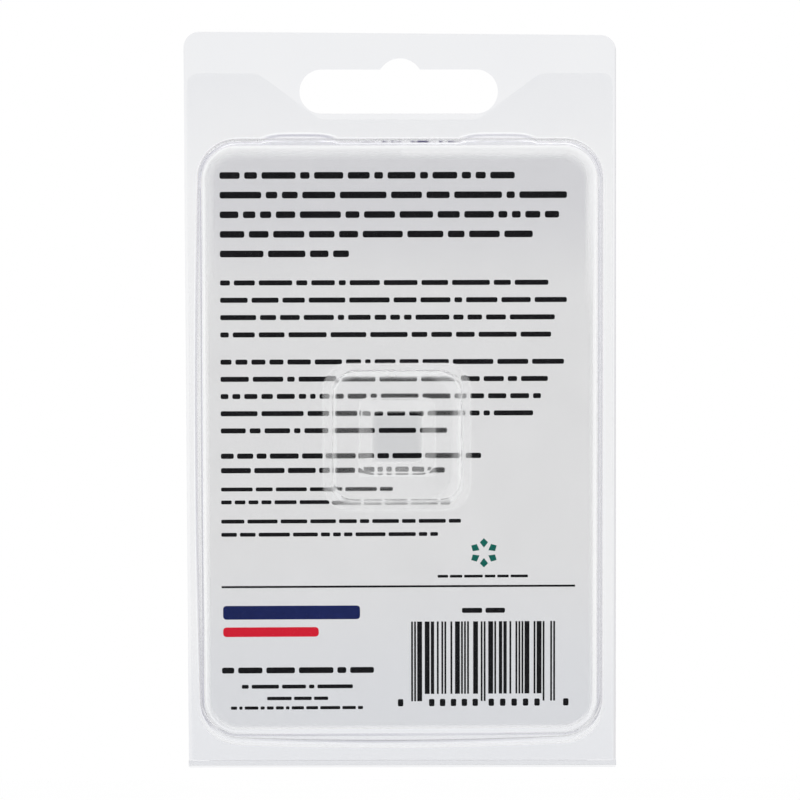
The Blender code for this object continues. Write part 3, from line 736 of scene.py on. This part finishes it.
class DrawnSheet(Nodes):
    """Painted shade, painted light, haze and frost on the stretched rear sheet, by how far a point lies
    inside its pocket and its ring.
    """

    def __init__(self, name):
        super().__init__(name)
        self.x, _, self.z = self.axes()
        self.pocket = self.pocket_inset(LEFT_IN, RIGHT_STEEP - STEEP)
        self.foot = self.pocket_inset(LEFT_IN + LEFT_FOOT_IN, 0)
        self.ring = self.box_inset(AXIS_X, AXIS_Z, BOSS_HALF, BOSS_HALF, BOSS_CORNER)
        self.across = self.minus(self.x, PANEL_X)
        self.up = self.minus(self.z, PANEL_Z)
        self.from_top = self.minus(PANEL_H / 2, self.up)
        self.from_low = self.plus(self.up, PANEL_H / 2)
        self.at_top = self.fade(self.from_top, TOP_FADE)
        self.low = self.fade(self.from_low, LOW_FADE)
        self.in_bow = self.times(self.arch(self.across, PANEL_W / 2 - PANEL_CORNER), self.low)
        self.fold_foot = self.plus(self.foot, self.times(self.in_bow, BOW_OUT))
        self.plateau = self.band(self.ring, PLATEAU_BAND)
        soft = self.box_inset(AXIS_X - SOFT_SHIFT, AXIS_Z, SOFT_HALF, SOFT_HALF, BOSS_CORNER)
        outer = self.times(self.fade(self.ring, OUTER_FADE), self.fade(soft, SOFT_FADE))
        self.ring_walls = self.most(outer, self.band(self.ring, INNER_BAND))

    def box_inset(self, x, z, half_w, half_h, radius):
        """How far a point lies inside a rounded box, seen along Y."""
        across = self.minus(self.size(self.minus(self.x, x)), half_w - radius)
        along = self.minus(self.size(self.minus(self.z, z)), half_h - radius)
        past = self.add("CombineXYZ", {0: self.most(across, 0), 1: self.most(along, 0)})
        corner = self.add("VectorMath", {0: past.outputs[0]}, operation="LENGTH").outputs["Value"]
        side = self.math("MINIMUM", self.most(across, along), 0)
        return self.minus(self.minus(radius, corner), side)

    def pocket_inset(self, trim, right):
        half_w = (PANEL_W + right - trim) / 2
        return self.box_inset(PANEL_X + (right + trim) / 2, PANEL_Z, half_w, PANEL_H / 2, PANEL_CORNER)

    def band(self, value, ends, full=1):
        """Full between the two middle ends, running out to 0 at the first and last."""
        return self.times(self.fade(value, ends[:2], full), self.fade(value, (ends[3], ends[2])))

    def line(self, value, full, *ends):
        return self.band(value, in_mm(*ends), full)

    def arch(self, value, reach):
        """1 at 0, falling off as a parabola to 0 at the reach on either side."""
        share = self.math("DIVIDE", value, reach)
        return self.most(self.minus(1, self.times(share, share)), 0)

    def left_to_right(self, left, right):
        return self.ramp(self.across, (-SEAM_HALF, SEAM_HALF), left, right)

    def lug_shade_line(self):
        """Painted shade: the dark line just inside the foot of each snap bulge."""
        in_lug = self.arch(self.minus(self.size(self.across), LUG_X), LUG_W / 2)
        in_lug = self.times(in_lug, self.minus(2, in_lug), self.math("GREATER_THAN", self.up, 0))
        lug_foot = self.plus(self.foot, self.times(in_lug, LUG_OUT))
        outside = self.fade(self.pocket, OUTSIDE_FADE)
        return self.times(self.line(lug_foot, *LUG_LINE), self.fade(in_lug, LUG_FADE), outside)

    def wall_shade_lines(self):
        """Painted shade: dark lines along the wall's foot and its edge, and all over at the top and in the
        corners.
        """
        not_low = self.minus(1, self.low)
        at_end = self.times(self.fade(self.minus(PANEL_H / 2, self.size(self.up)), END_FADE), not_low)
        at_left = self.arch(self.up, PANEL_H / 2 - PANEL_CORNER)
        at_left = self.times(at_left, self.math("LESS_THAN", self.across, 0))
        side_foot = self.plus(self.foot, self.times(at_left, SIDE_BOW))
        less_at_top = self.ramp(self.at_top, (0, 1), 1, FOOT_TOP_SHARE)
        not_top = self.fade(self.from_top, NOT_TOP_FADE)
        tint = self.most(
            self.times(self.line(side_foot, *FOOT_LINE), not_low, less_at_top),
            self.times(self.line(self.pocket, *EDGE_LINE), not_low, not_top),
            self.times(self.line(self.pocket, *LOW_LINE), self.low),
            self.times(self.line(self.fold_foot, *FOLD_LINE), self.in_bow),
            self.lug_shade_line(),
            self.times(self.line(self.foot, *SOLID_LINE), at_end),
            self.times(self.line(self.pocket, *INSIDE_LINE), at_end),
        )
        return self.times(tint, self.left_to_right(1, RIGHT_SHARE))

    def painted_dashes(self):
        """Painted reflection: the card's dark blue front shows as a broken line along the top."""
        along = self.add("CombineXYZ", {0: self.x}).outputs[0]
        broken = self.fade(self.noise(DASH_SCALE, vector=along), DASH_FADE)
        middle = self.arch(self.minus(self.x, DASH_MIDDLE), DASH_REACH)
        strength = self.ramp(middle, (0, 1), DASH_END_SHARE, 1)
        return self.times(broken, self.at_top, strength, self.line(self.pocket, *DASH_LINE))

    def ring_haze_and_painted_light(self):
        # Milky haze on the ring, partly the drawn sheet's own milkiness and partly painted light
        plateau = self.times(self.plateau, PLATEAU_HAZE_AND_PAINTED_LIGHT)
        walls = self.times(self.ring_walls, WALL_HAZE_AND_PAINTED_LIGHT)
        bend = self.line(self.minus(self.ring, BOSS_WALL_RUN), *BEND_HAZE_AND_PAINTED_LIGHT)
        clouds = self.ramp(self.noise(260, 3), CLOUD_RANGE, 0.8, 1.2)
        return self.times(self.plus(plateau, walls, bend), clouds)

    def painted_rim_light(self):
        """Painted light: the pocket's flat runs milky white into its edge, over a longer way at the top."""
        below_top = self.box_inset(PANEL_X - TOP_SHIFT, PANEL_Z - TOP_SPREAD, PANEL_W / 2 + TOP_SPREAD,
                                   PANEL_H / 2 + TOP_SPREAD, TOP_PAINTED_LIGHT_R)
        near_fold = self.fade(self.from_low, NEAR_FOLD_FADE)
        from_card = self.minus(self.pocket, self.times(near_fold, FOLD_SPREAD))
        upper = self.times(self.fade(self.from_top, UPPER_FADE), self.fade(self.pocket, UPPER_RIM_FADE))
        upper = self.times(upper, self.left_to_right(*UPPER_PAINTED_LIGHTS))
        top = self.fade(below_top, TOP_PAINTED_LIGHT_FADE, TOP_PAINTED_LIGHT)
        rim = self.most(self.fade(from_card, RIM_FADE, RIM_PAINTED_LIGHT), top, upper)
        off_card = self.times(self.fade(self.pocket, OFF_CARD_FADE), near_fold)
        return self.times(rim, self.fade(self.pocket, FLAT_FADE), self.minus(1, off_card))

    def painted_light_and_haze(self, painted_dashes):
        """All the milky places, most of them painted light, with a painted highlight line on the flange
        along the fold's side of the pocket.
        """
        # Painted highlight on the flange along the fold's side of the pocket
        line = self.times(self.line(self.fold_foot, *FLANGE_HIGHLIGHT_LINE), self.fade(self.from_low, FLANGE_FADE))
        rim = self.plus(self.painted_rim_light(), line)
        return self.most(self.math("ADD", self.ring_haze_and_painted_light(), rim, clamp=True), painted_dashes)

    def frost(self):
        ring = self.times(self.most(self.plateau, self.ring_walls), PLATEAU_FROST)
        return self.most(self.line(self.pocket, *WALL_FROST), ring)


WHITE = scaled((1, 1, 1))
ROOM = scaled((0.02, 0.02, 0.03))
FLOOR_SHADE = scaled((0.985, 0.985, 0.985))
# Milky white of the haze and of the painted light
MILK_WHITE_AND_PAINTED_LIGHT = scaled((0.93, 0.935, 0.94))
# Painted reflection of the card's dark front
PAINTED_CARD_FRONT_REFLECTION = scaled((0.06, 0.05, 0.14))
# Painted shade of the dark lines on the walls
PAINTED_WALL_SHADE = scaled((0.5, 0.495, 0.57))
# Painted shade in the ring's pit
PAINTED_PIT_SHADE = scaled((0.84, 0.85, 0.86))
GLINT = scaled((0.35, 0.35, 0.36))


def clear_plastic(name, pale, deep_shaded, drawn=False, edge_shade=None):
    """Clear formed sheet. Shadow and diffuse rays, and those mirrored twice, pass straight through."""
    nodes = DrawnSheet(name) if drawn else Nodes(name)
    x, _, z = nodes.axes()
    # Painted shade: the tint deepens to the top and to the fold
    ends = nodes.most(nodes.fade(z, TOP_SHADE_FADE, TOP_SHADE_SHARE), nodes.fade(z, LOW_SHADE_FADE))
    patches = nodes.ramp(nodes.noise(60, 3), CLOUD_RANGE, -PATCH_TINT, PATCH_TINT)
    tint = nodes.mix(nodes.math("ADD", ends, patches, clamp=True), scaled(pale), scaled(deep_shaded))
    # Painted shade along the sheet's edge at +X
    if edge_shade:
        tint = nodes.mix(nodes.fade(x, EDGE_SHADE_FADE), tint, scaled(edge_shade))
    rough = nodes.ramp(nodes.noise(240), GRAIN_RANGE, *SHEET_ROUGH)
    if drawn:
        # Painted shade: dark lines along the pocket's walls
        tint = nodes.mix(nodes.wall_shade_lines(), tint, PAINTED_WALL_SHADE)
        # Painted shade in the ring's recessed pit
        tint = nodes.mix(nodes.fade(nodes.ring, PIT_FADE, PIT_SHADE_SHARE), tint, PAINTED_PIT_SHADE)
        rough = nodes.most(rough, nodes.frost())
    more = {"IOR": SHEET_IOR, "Transmission Weight": 1}
    sheet = nodes.surface(tint, rough, nodes.noise(90, 1), 0.05, WAVE_DEPTH, more)
    if drawn:
        # Painted reflection of the card's front, as dashes along the top
        painted_dashes = nodes.painted_dashes()
        # Milky white for the haze and the painted light, dark where it is the painted reflection
        milk_and_light_shader = nodes.add("BsdfDiffuse", {"Color": nodes.mix(painted_dashes, MILK_WHITE_AND_PAINTED_LIGHT, PAINTED_CARD_FRONT_REFLECTION)})
        sheet = nodes.either(nodes.painted_light_and_haze(painted_dashes), sheet, milk_and_light_shader.outputs[0])
    passing = nodes.most(nodes.ray("Is Shadow Ray"), nodes.ray("Is Diffuse Ray"), nodes.mirrored(2))
    return nodes.finish(nodes.either(passing, sheet, nodes.clear()))


def card_stock(name, color, roughness, mottle=0.02, sheen=0.5):
    """Coated card: a faint mottle, fine fibre and a soft sheen, with a painted shadow at the top and a
    painted cool shade at the foot.
    """
    nodes = Nodes(name)
    height = nodes.axes()["Z"]
    fibre = nodes.noise(1800, 4, 0.6)
    both = nodes.plus(nodes.times(fibre, 0.5), nodes.times(nodes.noise(90, 3), 0.5))
    shade = nodes.clouded(both, color, 1 - mottle, 1 + mottle)
    # Painted shadow behind the top of the sheet, and a painted cool shade near the foot
    top_shadow = nodes.fade(height, CARD_TOP_SHADOW_FADE, CARD_TOP_SHADOW_SHARE)
    shade = nodes.mix(top_shadow, shade, tinted(color, CARD_TOP_SHADOW_SHARES))
    shade = nodes.mix(nodes.fade(height, CARD_FOOT_SHADE_FADE), shade, tinted(color, CARD_FOOT_SHADE_SHARES))
    roughs = (roughness - 0.05, roughness + 0.05)
    return nodes.grained(shade, roughs, fibre, 0.15, 0.02 * MM, {"IOR": 1.45, "Specular IOR Level": sheen})


def plated_metal(name, color, roughness):
    """Nickel plate: a slight cloud in the polish and fine lines from the tool."""
    nodes = Nodes(name)
    lines = nodes.noise(900, 3, 0.6)
    shade = nodes.clouded(nodes.noise(220, 3), color, 0.94, 1)
    roughs = (roughness * 0.75, roughness * 1.3)
    return nodes.grained(shade, roughs, lines, 0.12, 0.01 * MM, {"Metallic": 1, "Specular Tint": GLINT})


def moulded(name, color, roughness, grain_scale, depth, coat=0):
    """Rubber, resin or moulded plastic with a stippled skin."""
    nodes = Nodes(name)
    stipple = nodes.noise(grain_scale, 3, 0.55)
    shade = nodes.clouded(nodes.noise(150), color, 0.85, 1.15)
    roughs = (roughness * 0.85, roughness * 1.15)
    return nodes.grained(shade, roughs, stipple, 0.3, depth, {"Coat Weight": coat})


# The clear pack

def make_rear_sheet(material):
    wall = wall_section(0, REAR_PLY, WALL_RUN, PANEL_Y, FOOT_R, EDGE_R)
    step = rounded_path([
        (-BOSS_WALL_RUN, PANEL_Y, 0),
        (0, PANEL_Y, BOSS_FILLET),
        (BOSS_WALL_RUN, BOSS_Y, BOSS_FILLET),
        (STEP_END, BOSS_Y, BOSS_FILLET),
        (PIT_END, PANEL_Y, BOSS_FILLET),
        (BOSS_HALF, PANEL_Y, 0),
    ], FILLET_STEPS)[1:-1]
    stages = [(wall, pocket_loop), (step, boss_loop)]
    outline = ply_outline(REAR_HALF, REAR_TOP, 0, REAR_CORNER, notch_corners())
    piece = formed_sheet("rear_sheet", material, outline, REAR_PLY, [], stages)
    seated(piece, "rear_cover", "rear_shell")


def make_front_sheet(material):
    plug_end = PLUG_INSET + (FRONT_PLY - DECK_Y) * tan(WALL_DRAFT)
    plug = wall_section(PLUG_INSET, FRONT_PLY, plug_end, DECK_Y, FOOT_R + PLY_PITCH, FOOT_R)
    dome = wall_section(0, DECK_Y, BUBBLE_RUN, BUBBLE_Y, BUBBLE_FOOT_R, BUBBLE_EDGE_R)
    stages = [(plug, pocket_loop), (dome, bubble_loop)]
    outline = ply_outline(PACK_HALF, PACK_TOP, TOP_FALL, PACK_CORNER)
    piece = formed_sheet("front_sheet", material, outline, FRONT_PLY, [slot_outline()], stages)
    seated(piece, "pack", "front_shell")


def make_fold(material):
    """The sheet's bend along the bottom edge."""
    leg = FLANGE_BOTTOM - FOLD_GAP
    section = []
    for radius, start, end in ((FOLD_R, pi, tau), (FOLD_R - SHEET, tau, pi)):
        bend = arc((0, FOLD_Z), radius, start, end, steps=24)
        section += [(bend[0][0], leg), *bend, (bend[-1][0], leg)]
    left = SIDE_TRIM - PACK_HALF + SIDE_LEAN / 2
    right = PACK_HALF + SIDE_LEAN / 2
    bm = bmesh.new()
    rings = []
    for share in evenly(0, 1, steps=48):
        x = left + (right - left) * share
        rings.append([bm.verts.new((x, y, z + FOLD_FALL * (0.5 - share))) for y, z in section])
    join_row(bm, rings)
    for ring in (rings[0], rings[-1]):
        for index in range(len(ring) // 2 - 1):
            bm.faces.new((ring[index], ring[index + 1], ring[-index - 2], ring[-index - 1]))
    piece = mesh_object("fold_bend", bm, material)
    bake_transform(piece)
    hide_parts("fold_hinge")


# The printed card

def box_loop(x0, x1, z0, z1, radius=0, steps=INK_STEPS):
    return rounded_box((x0 + x1) / 2, (z0 + z1) / 2, (x1 - x0) / 2, (z1 - z0) / 2, radius, steps)


def word_loops(left, right, base, height, capital, dice):
    loops = []
    x = left
    while x < right - capital * WORD_SHARES[0]:
        end = x + capital * dice.uniform(*WORD_SHARES)
        if right - end < capital * LAST_WORD_SHARE:
            end = right
        loops.append(box_loop(x, end, base, base + height, height * WORD_ROUND_SHARE))
        x = end + capital * WORD_GAP_SHARE
    return loops


def text_loops():
    dice = random.Random(7)
    loops = []
    for size, base, pitch, ends in TEXT_BLOCKS:
        height, capital = TEXT_SIZES[size]
        for row, right in enumerate(ends):
            loops += word_loops(TEXT_LEFT, right * MM, (base + row * pitch) * MM, height, capital, dice)
    return loops


def bar_loops(dice):
    """A plain block of bars of one to three modules, with longer pairs at the ends and the middle."""
    loops = []

    def bar(start, modules, low):
        x = BAR_LEFT + start * BAR_MODULE
        loops.append(box_loop(x - BAR_SPREAD, x + modules * BAR_MODULE + BAR_SPREAD, low, BAR_TOP))

    for start in GUARDS:
        bar(start, 1, BAR_BOTTOM - GUARD_DROP)
    for at in HALF_STARTS:
        end = at + HALF_MODULES
        while at < end - 1:
            modules = dice.choice(BAR_WIDTHS)
            drop = 0.0 if BAR_SHORT[0] <= at <= BAR_SHORT[1] else GUARD_DROP
            bar(at, min(modules, end - at), BAR_BOTTOM - drop)
            at += modules + dice.choice(BAR_WIDTHS)
    return loops


def digit_loops():
    places = [DIGIT_X[0], DIGIT_X[-1]]
    for first, last in (DIGIT_X[1:3], DIGIT_X[3:5]):
        places += evenly(first, last, steps=4)
    low, high = DIGIT_Z - DIGIT_H / 2, DIGIT_Z + DIGIT_H / 2
    return [box_loop(x - DIGIT_W / 2, x + DIGIT_W / 2, low, high, DIGIT_ROUND) for x in places]


def kite_loops():
    loops = []
    for index in range(KITES):
        turn = tau * (index + 0.5) / KITES
        out = Vector((cos(turn), sin(turn))) * KITE_R
        side = Vector((-out.y, out.x))
        corners = [(*(KITE_PLACE + out * reach + side * spread), 0) for reach, spread in KITE_SHARES]
        loops.append(rounded_path(corners, INK_STEPS))
    return loops


def card_back_inks():
    dice = random.Random(11)
    inks = {ink: [box_loop(*in_mm(*block))] for ink, block in BACK_BLOCKS.items()}
    inks["black"] += text_loops()
    for line in SINGLE_LINES:
        inks["black"] += word_loops(*in_mm(*line), dice)
    inks["black"] += bar_loops(dice) + digit_loops()
    inks["green"] = kite_loops()
    return [(ink, loop) for ink, loops in inks.items() for loop in loops]


def card_front_inks():
    loops = []
    for ink, width, low, high, corner in FRONT_BARS:
        left = FRONT_BARS_END - width * MM
        loops.append((ink, box_loop(left, FRONT_BARS_END, low * MM, high * MM, corner * MM, steps=6)))
    return loops


def make_card(looks):
    """The card as one closed solid. Its inks are faces of the two printed sides."""
    bm = bmesh.new()
    outline = rounded_box(CARD_X, CARD_Z, CARD_HIGH.x - CARD_X, CARD_HIGH.z - CARD_Z, CARD_CORNER)
    back = add_ring(bm, outline, CARD_LOW.y)
    front = add_ring(bm, outline, CARD_HIGH.y)
    join_row(bm, [back, front])
    for border, y, ground, inks in ((back, CARD_LOW.y, "stock", card_back_inks()),
                                    (front, CARD_HIGH.y, "front", card_front_inks())):
        rings = [border]
        for ink, loop in inks:
            rings.append(add_ring(bm, loop, y))
            bm.faces.new(rings[-1]).material_index = INKS.index(ink)
        for face in fill_flat(bm, rings):
            face.material_index = INKS.index(ground)
    piece = mesh_object("printed_card", bm, *[looks[ink] for ink in INKS], weighted=False)
    seated(piece, "pack", "insert_card")


# The magnet base

def tube(radius, back, front, inner, edge_r):
    return [(inner, back, edge_r), (radius, back, edge_r), (radius, front, edge_r), (inner, front, edge_r)]


def liner_section(radius, back, front):
    edge_r = SMALL_EDGE_R / 2
    return [(0, back, 0), (radius, back, edge_r), (radius, front, edge_r), (0, front, 0)]


def cup_section(radius, back, front):
    floor = front - CUP_FLOOR
    return [
        (RIVET_HOLE_R, floor, 0),
        (radius - CUP_WALL, floor, SMALL_EDGE_R),
        (radius - CUP_WALL, back, SMALL_EDGE_R),
        (radius, back, CUP_EDGE_R),
        (radius, front, CUP_EDGE_R),
        (RIVET_HOLE_R, front, SMALL_EDGE_R),
    ]


def rivet_section(radius, back, front):
    tail = back + RIVET_TAIL_T
    head = front - RIVET_HEAD_T
    return [
        (0, back, 0),
        (radius, back, 2 * SMALL_EDGE_R),
        (radius, tail, 0),
        (RIVET_R, tail, 0),
        (RIVET_R, head, 0),
        (RIVET_HEAD_R, head, SMALL_EDGE_R),
        (RIVET_HEAD_R, front, 2 * SMALL_EDGE_R),
        (0, front, 0),
    ]


def make_magnet_base(looks):
    for node, slot, section, *more in (
        ("liner", "soft_liner", liner_section),
        ("magnet_cup", "plated_cup", cup_section),
        ("ring_magnet", "plated_magnet", tube, BORE_R, SMALL_EDGE_R),
        ("potting_ring", "black_resin", tube, POTTING_R, 0),
        ("swivel_rivet", "rivet_steel", rivet_section),
        ("slip_washer", "slip_plastic", tube, RIVET_HOLE_R, SMALL_EDGE_R / 3),
    ):
        low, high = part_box(node)
        bm = turned(section((high.x - low.x) / 2, low.y, high.y, *more), BASE)
        seated(mesh_object("turned_" + node, bm, looks[slot]), "pack", node)


# The turning yoke, its pin and the hook

def ear_outline(inset):
    """One ear's outline as (y, z): a foot inside the plate and a round top about the pin."""
    foot = PLATE_FRONT - YOKE_T / 2
    half = EAR_FOOT_HALF - inset
    top = arc((PIVOT_Y, 0), EAR_TOP_R - inset, pi / 2, -pi / 2, steps=40)
    return [(foot, half), (PLATE_FRONT, half), *top, (PLATE_FRONT, -half), (foot, -half)]


def make_yoke(material):
    plate = tube(PLATE_R, YOKE_LOW.y, PLATE_FRONT, RIVET_HOLE_R, YOKE_EDGE_R)
    bm = turned(plate, BASE)
    levels = ((0, EAR_EDGE_R), (EAR_EDGE_R, 0), (EAR_T - EAR_EDGE_R, 0), (EAR_T, EAR_EDGE_R))
    for side in (1, -1):
        outer, bore = [], []
        for out, inset in levels:
            x = AXIS_X + side * (EAR_INNER + out)
            hole = arc((PIVOT_Y, 0), EYE_HOLE_R + inset / 2, 0, tau, steps=48)[:-1]
            for rings, points in ((outer, ear_outline(inset)), (bore, hole)):
                rings.append([bm.verts.new((x, y, AXIS_Z + z)) for y, z in points])
        join_row(bm, outer)
        join_row(bm, bore)
        for end in (0, -1):
            fill_flat(bm, [outer[end], bore[end]], (1, 0, 0))
    piece = mesh_object("turning_yoke", bm, material)
    seated(piece, "swivel", "swivel_yoke")


def make_pin(material):
    end = (PIN_HIGH.x - PIN_LOW.x) / 2
    shoulder = end - PIN_HEAD_T
    head_r = (PIN_HIGH.z - PIN_LOW.z) / 2
    half = [(PIN_R, shoulder, 0), (head_r, shoulder, 0), (head_r, end, PIN_EDGE_R), (0, end, 0)]
    other_half = [(radius, -along, edge_r) for radius, along, edge_r in reversed(half)]
    bm = turned(other_half + half, PIVOT, axis="X", steps=64)
    piece = mesh_object("headed_pin", bm, material)
    seated(piece, "swivel", "pivot_pin")


def hook_line():
    """Middle line of the hook's wire as (out, down) from the pin, with its direction."""
    rise = sqrt((BOW_R + NECK_R) ** 2 - NECK_R ** 2)
    neck_down = BOW_DROP - rise
    meet = atan2(NECK_R, rise)
    line = [((0, EYE_HOLE_R + EYE_WALL * ROOT_SHARE), (0, 1))]
    for turn in evenly(0, pi / 2 - meet, steps=16):
        point = (NECK_R * (cos(turn) - 1), neck_down + NECK_R * sin(turn))
        line.append((point, (-sin(turn), cos(turn))))
    for turn in evenly(pi + meet, tau + pi / 2 - BOW_OPEN, steps=64)[1:]:
        point = (BOW_R * sin(turn), BOW_DROP + BOW_R * cos(turn))
        line.append((point, (cos(turn), -sin(turn))))
    return line


def make_hook(material):
    eye = tube(EYE_HOLE_R + EYE_WALL, -EYE_HALF, EYE_HALF, EYE_HOLE_R, EYE_EDGE_R)
    bm = turned(eye, PIVOT, axis="X", steps=72)
    line = [(point, heading, WIRE_R) for point, heading in hook_line()]
    end, heading, _ = line[-1]
    for turn in evenly(-acos(WIRE_R / TIP_R), pi / 2, steps=14)[:-1]:
        along = TIP_RUN + TIP_R * sin(turn)
        point = (end[0] + along * heading[0], end[1] + along * heading[1])
        line.append((point, heading, TIP_R * cos(turn)))
    rings = []
    for (out, down), (ahead_out, ahead_down), radius in line:
        ring = []
        for turn in evenly(0, tau, steps=40)[:-1]:
            across = radius * cos(turn)
            y = PIVOT_Y + (out - across * ahead_down)
            z = AXIS_Z - (down + across * ahead_out)
            ring.append(bm.verts.new((AXIS_X + radius * sin(turn), y, z)))
        rings.append(ring)
    join_row(bm, rings)
    bm.faces.new(rings[0])
    bm.faces.new(rings[-1])
    piece = mesh_object("wire_hook", bm, material, weighted=False)
    seated(piece, "swing_hook", "hook")


# Studio

def make_camera():
    photo_width = 800 * 0.2185 * MM     # pixels, and the size of one at the pack
    distance = 0.7
    azimuth = radians(-1.3)
    elevation = radians(3.5)
    roll = radians(-0.1)
    target = Vector(in_mm(-0.15, 0, -74.3))
    lens_share = 1.0028
    data = bpy.data.cameras.new("camera")
    data.lens = data.sensor_width * lens_share * distance / photo_width
    data.clip_start = 0.01
    data.clip_end = 20
    camera = bpy.data.objects.new("camera", data)
    SCENE.collection.objects.link(camera)
    level = cos(elevation)
    back = Vector((sin(azimuth) * level, -cos(azimuth) * level, sin(elevation)))
    camera.location = target + back * distance
    camera.rotation_mode = "QUATERNION"
    camera.rotation_quaternion = Quaternion(back, roll) @ (-back).to_track_quat("-Z", "Y")
    SCENE.camera = camera


def make_world():
    """White all round. Mirrored rays also see a dark room, dark flags and a top light."""
    world = bpy.data.worlds.new("studio")
    SCENE.world = world
    world.use_nodes = True
    nodes = Nodes("studio", world.node_tree, "Generated")
    x, y, z = nodes.axes()
    room = nodes.fade(nodes.times(y, -1), ROOM_FADE, ROOM_DARK)
    flags = nodes.fade(nodes.most(nodes.size(x), nodes.size(z)), FLAG_FADE, FLAG_DARK)
    dark = nodes.most(room, flags, nodes.fade(z, TABLE_FADE, TABLE_DARK))
    over = nodes.add("VectorMath", {0: nodes.place, 1: TOP_LIGHT_WAY}, operation="DOT_PRODUCT")
    top_light = nodes.fade(over.outputs["Value"], TOP_LIGHT_FADE, TOP_LIGHT_GAIN)
    mirrored = nodes.mirrored(1)
    background = nodes.add("Background", {
        "Color": nodes.mix(nodes.times(dark, mirrored), WHITE, ROOM),
        "Strength": nodes.plus(1, nodes.times(top_light, mirrored)),
    })
    nodes.add("OutputWorld", {"Surface": background.outputs[0]})


def make_floor():
    bm = bmesh.new()
    corners = [(-1, -1), (1, -1), (1, 1), (-1, 1)]
    bm.faces.new([bm.verts.new((x * FLOOR_HALF, y * FLOOR_HALF, FLOOR_Z)) for x, y in corners])
    nodes = Nodes("pale_floor")
    paper = nodes.mix(nodes.noise(40), FLOOR_SHADE, WHITE)
    lit = nodes.add("BsdfDiffuse", {"Color": paper}).outputs[0]
    white = nodes.add("Emission", {"Color": WHITE, "Strength": 1}).outputs[0]
    seen = nodes.times(nodes.most(nodes.ray("Is Camera Ray"), nodes.ray("Is Transmission Ray")), FLOOR_GLOW)
    shader = nodes.either(nodes.mirrored(1), nodes.either(seen, lit, white), nodes.clear())
    mesh_object("floor", bm, nodes.finish(shader), weighted=False)


make_camera()
make_world()
make_floor()

make_rear_sheet(clear_plastic("rear_clear_sheet", (0.995, 0.996, 0.998), (0.985, 0.988, 0.995), drawn=True))
make_front_sheet(clear_plastic("front_clear_sheet", (0.955, 0.958, 0.965), (0.88, 0.887, 0.91),
                               edge_shade=(0.78, 0.78, 0.8)))
make_fold(clear_plastic("fold_clear_sheet", (0.93, 0.933, 0.942), (0.91, 0.915, 0.93)))
make_card({
    "stock": card_stock("card_back", (0.76, 0.76, 0.765), 0.45),
    "black": card_stock("ink_black", (0.006, 0.006, 0.007), 0.5, 0.1, 0.08),
    "navy": card_stock("ink_navy", (0.008, 0.016, 0.095), 0.5, 0.1, 0.08),
    "red": card_stock("ink_red", (0.66, 0.01, 0.03), 0.5, 0.05, 0.08),
    "green": card_stock("ink_green", (0.004, 0.12, 0.095), 0.5, 0.1, 0.08),
    "front": card_stock("card_front", (0.02, 0.022, 0.17), 0.35, 0.06, 0.2),
    "band": card_stock("card_front_band", (0.22, 0.22, 0.58), 0.35, 0.04, 0.2),
    "pale": card_stock("card_front_pale", (0.8, 0.8, 0.84), 0.35, 0.02, 0.2),
})

make_magnet_base({
    "soft_liner": moulded("soft_rubber", (0.022, 0.022, 0.024), 0.75, 1500, 0.03 * MM),
    "plated_cup": plated_metal("cup_plate", (0.72, 0.71, 0.69), 0.16),
    "plated_magnet": plated_metal("magnet_plate", (0.62, 0.62, 0.63), 0.26),
    "black_resin": moulded("cast_resin", (0.015, 0.015, 0.017), 0.35, 500, 0.02 * MM, 0.3),
    "rivet_steel": plated_metal("rivet_plate", (0.6, 0.6, 0.61), 0.28),
    "slip_plastic": moulded("slip_nylon", (0.78, 0.77, 0.73), 0.5, 900, 0.01 * MM),
})
make_yoke(plated_metal("yoke_plate", (0.68, 0.68, 0.68), 0.2))
make_pin(plated_metal("pin_plate", (0.58, 0.58, 0.59), 0.3))
make_hook(plated_metal("hook_plate", (0.7, 0.7, 0.7), 0.12))

SCENE.view_settings.view_transform = "Standard"
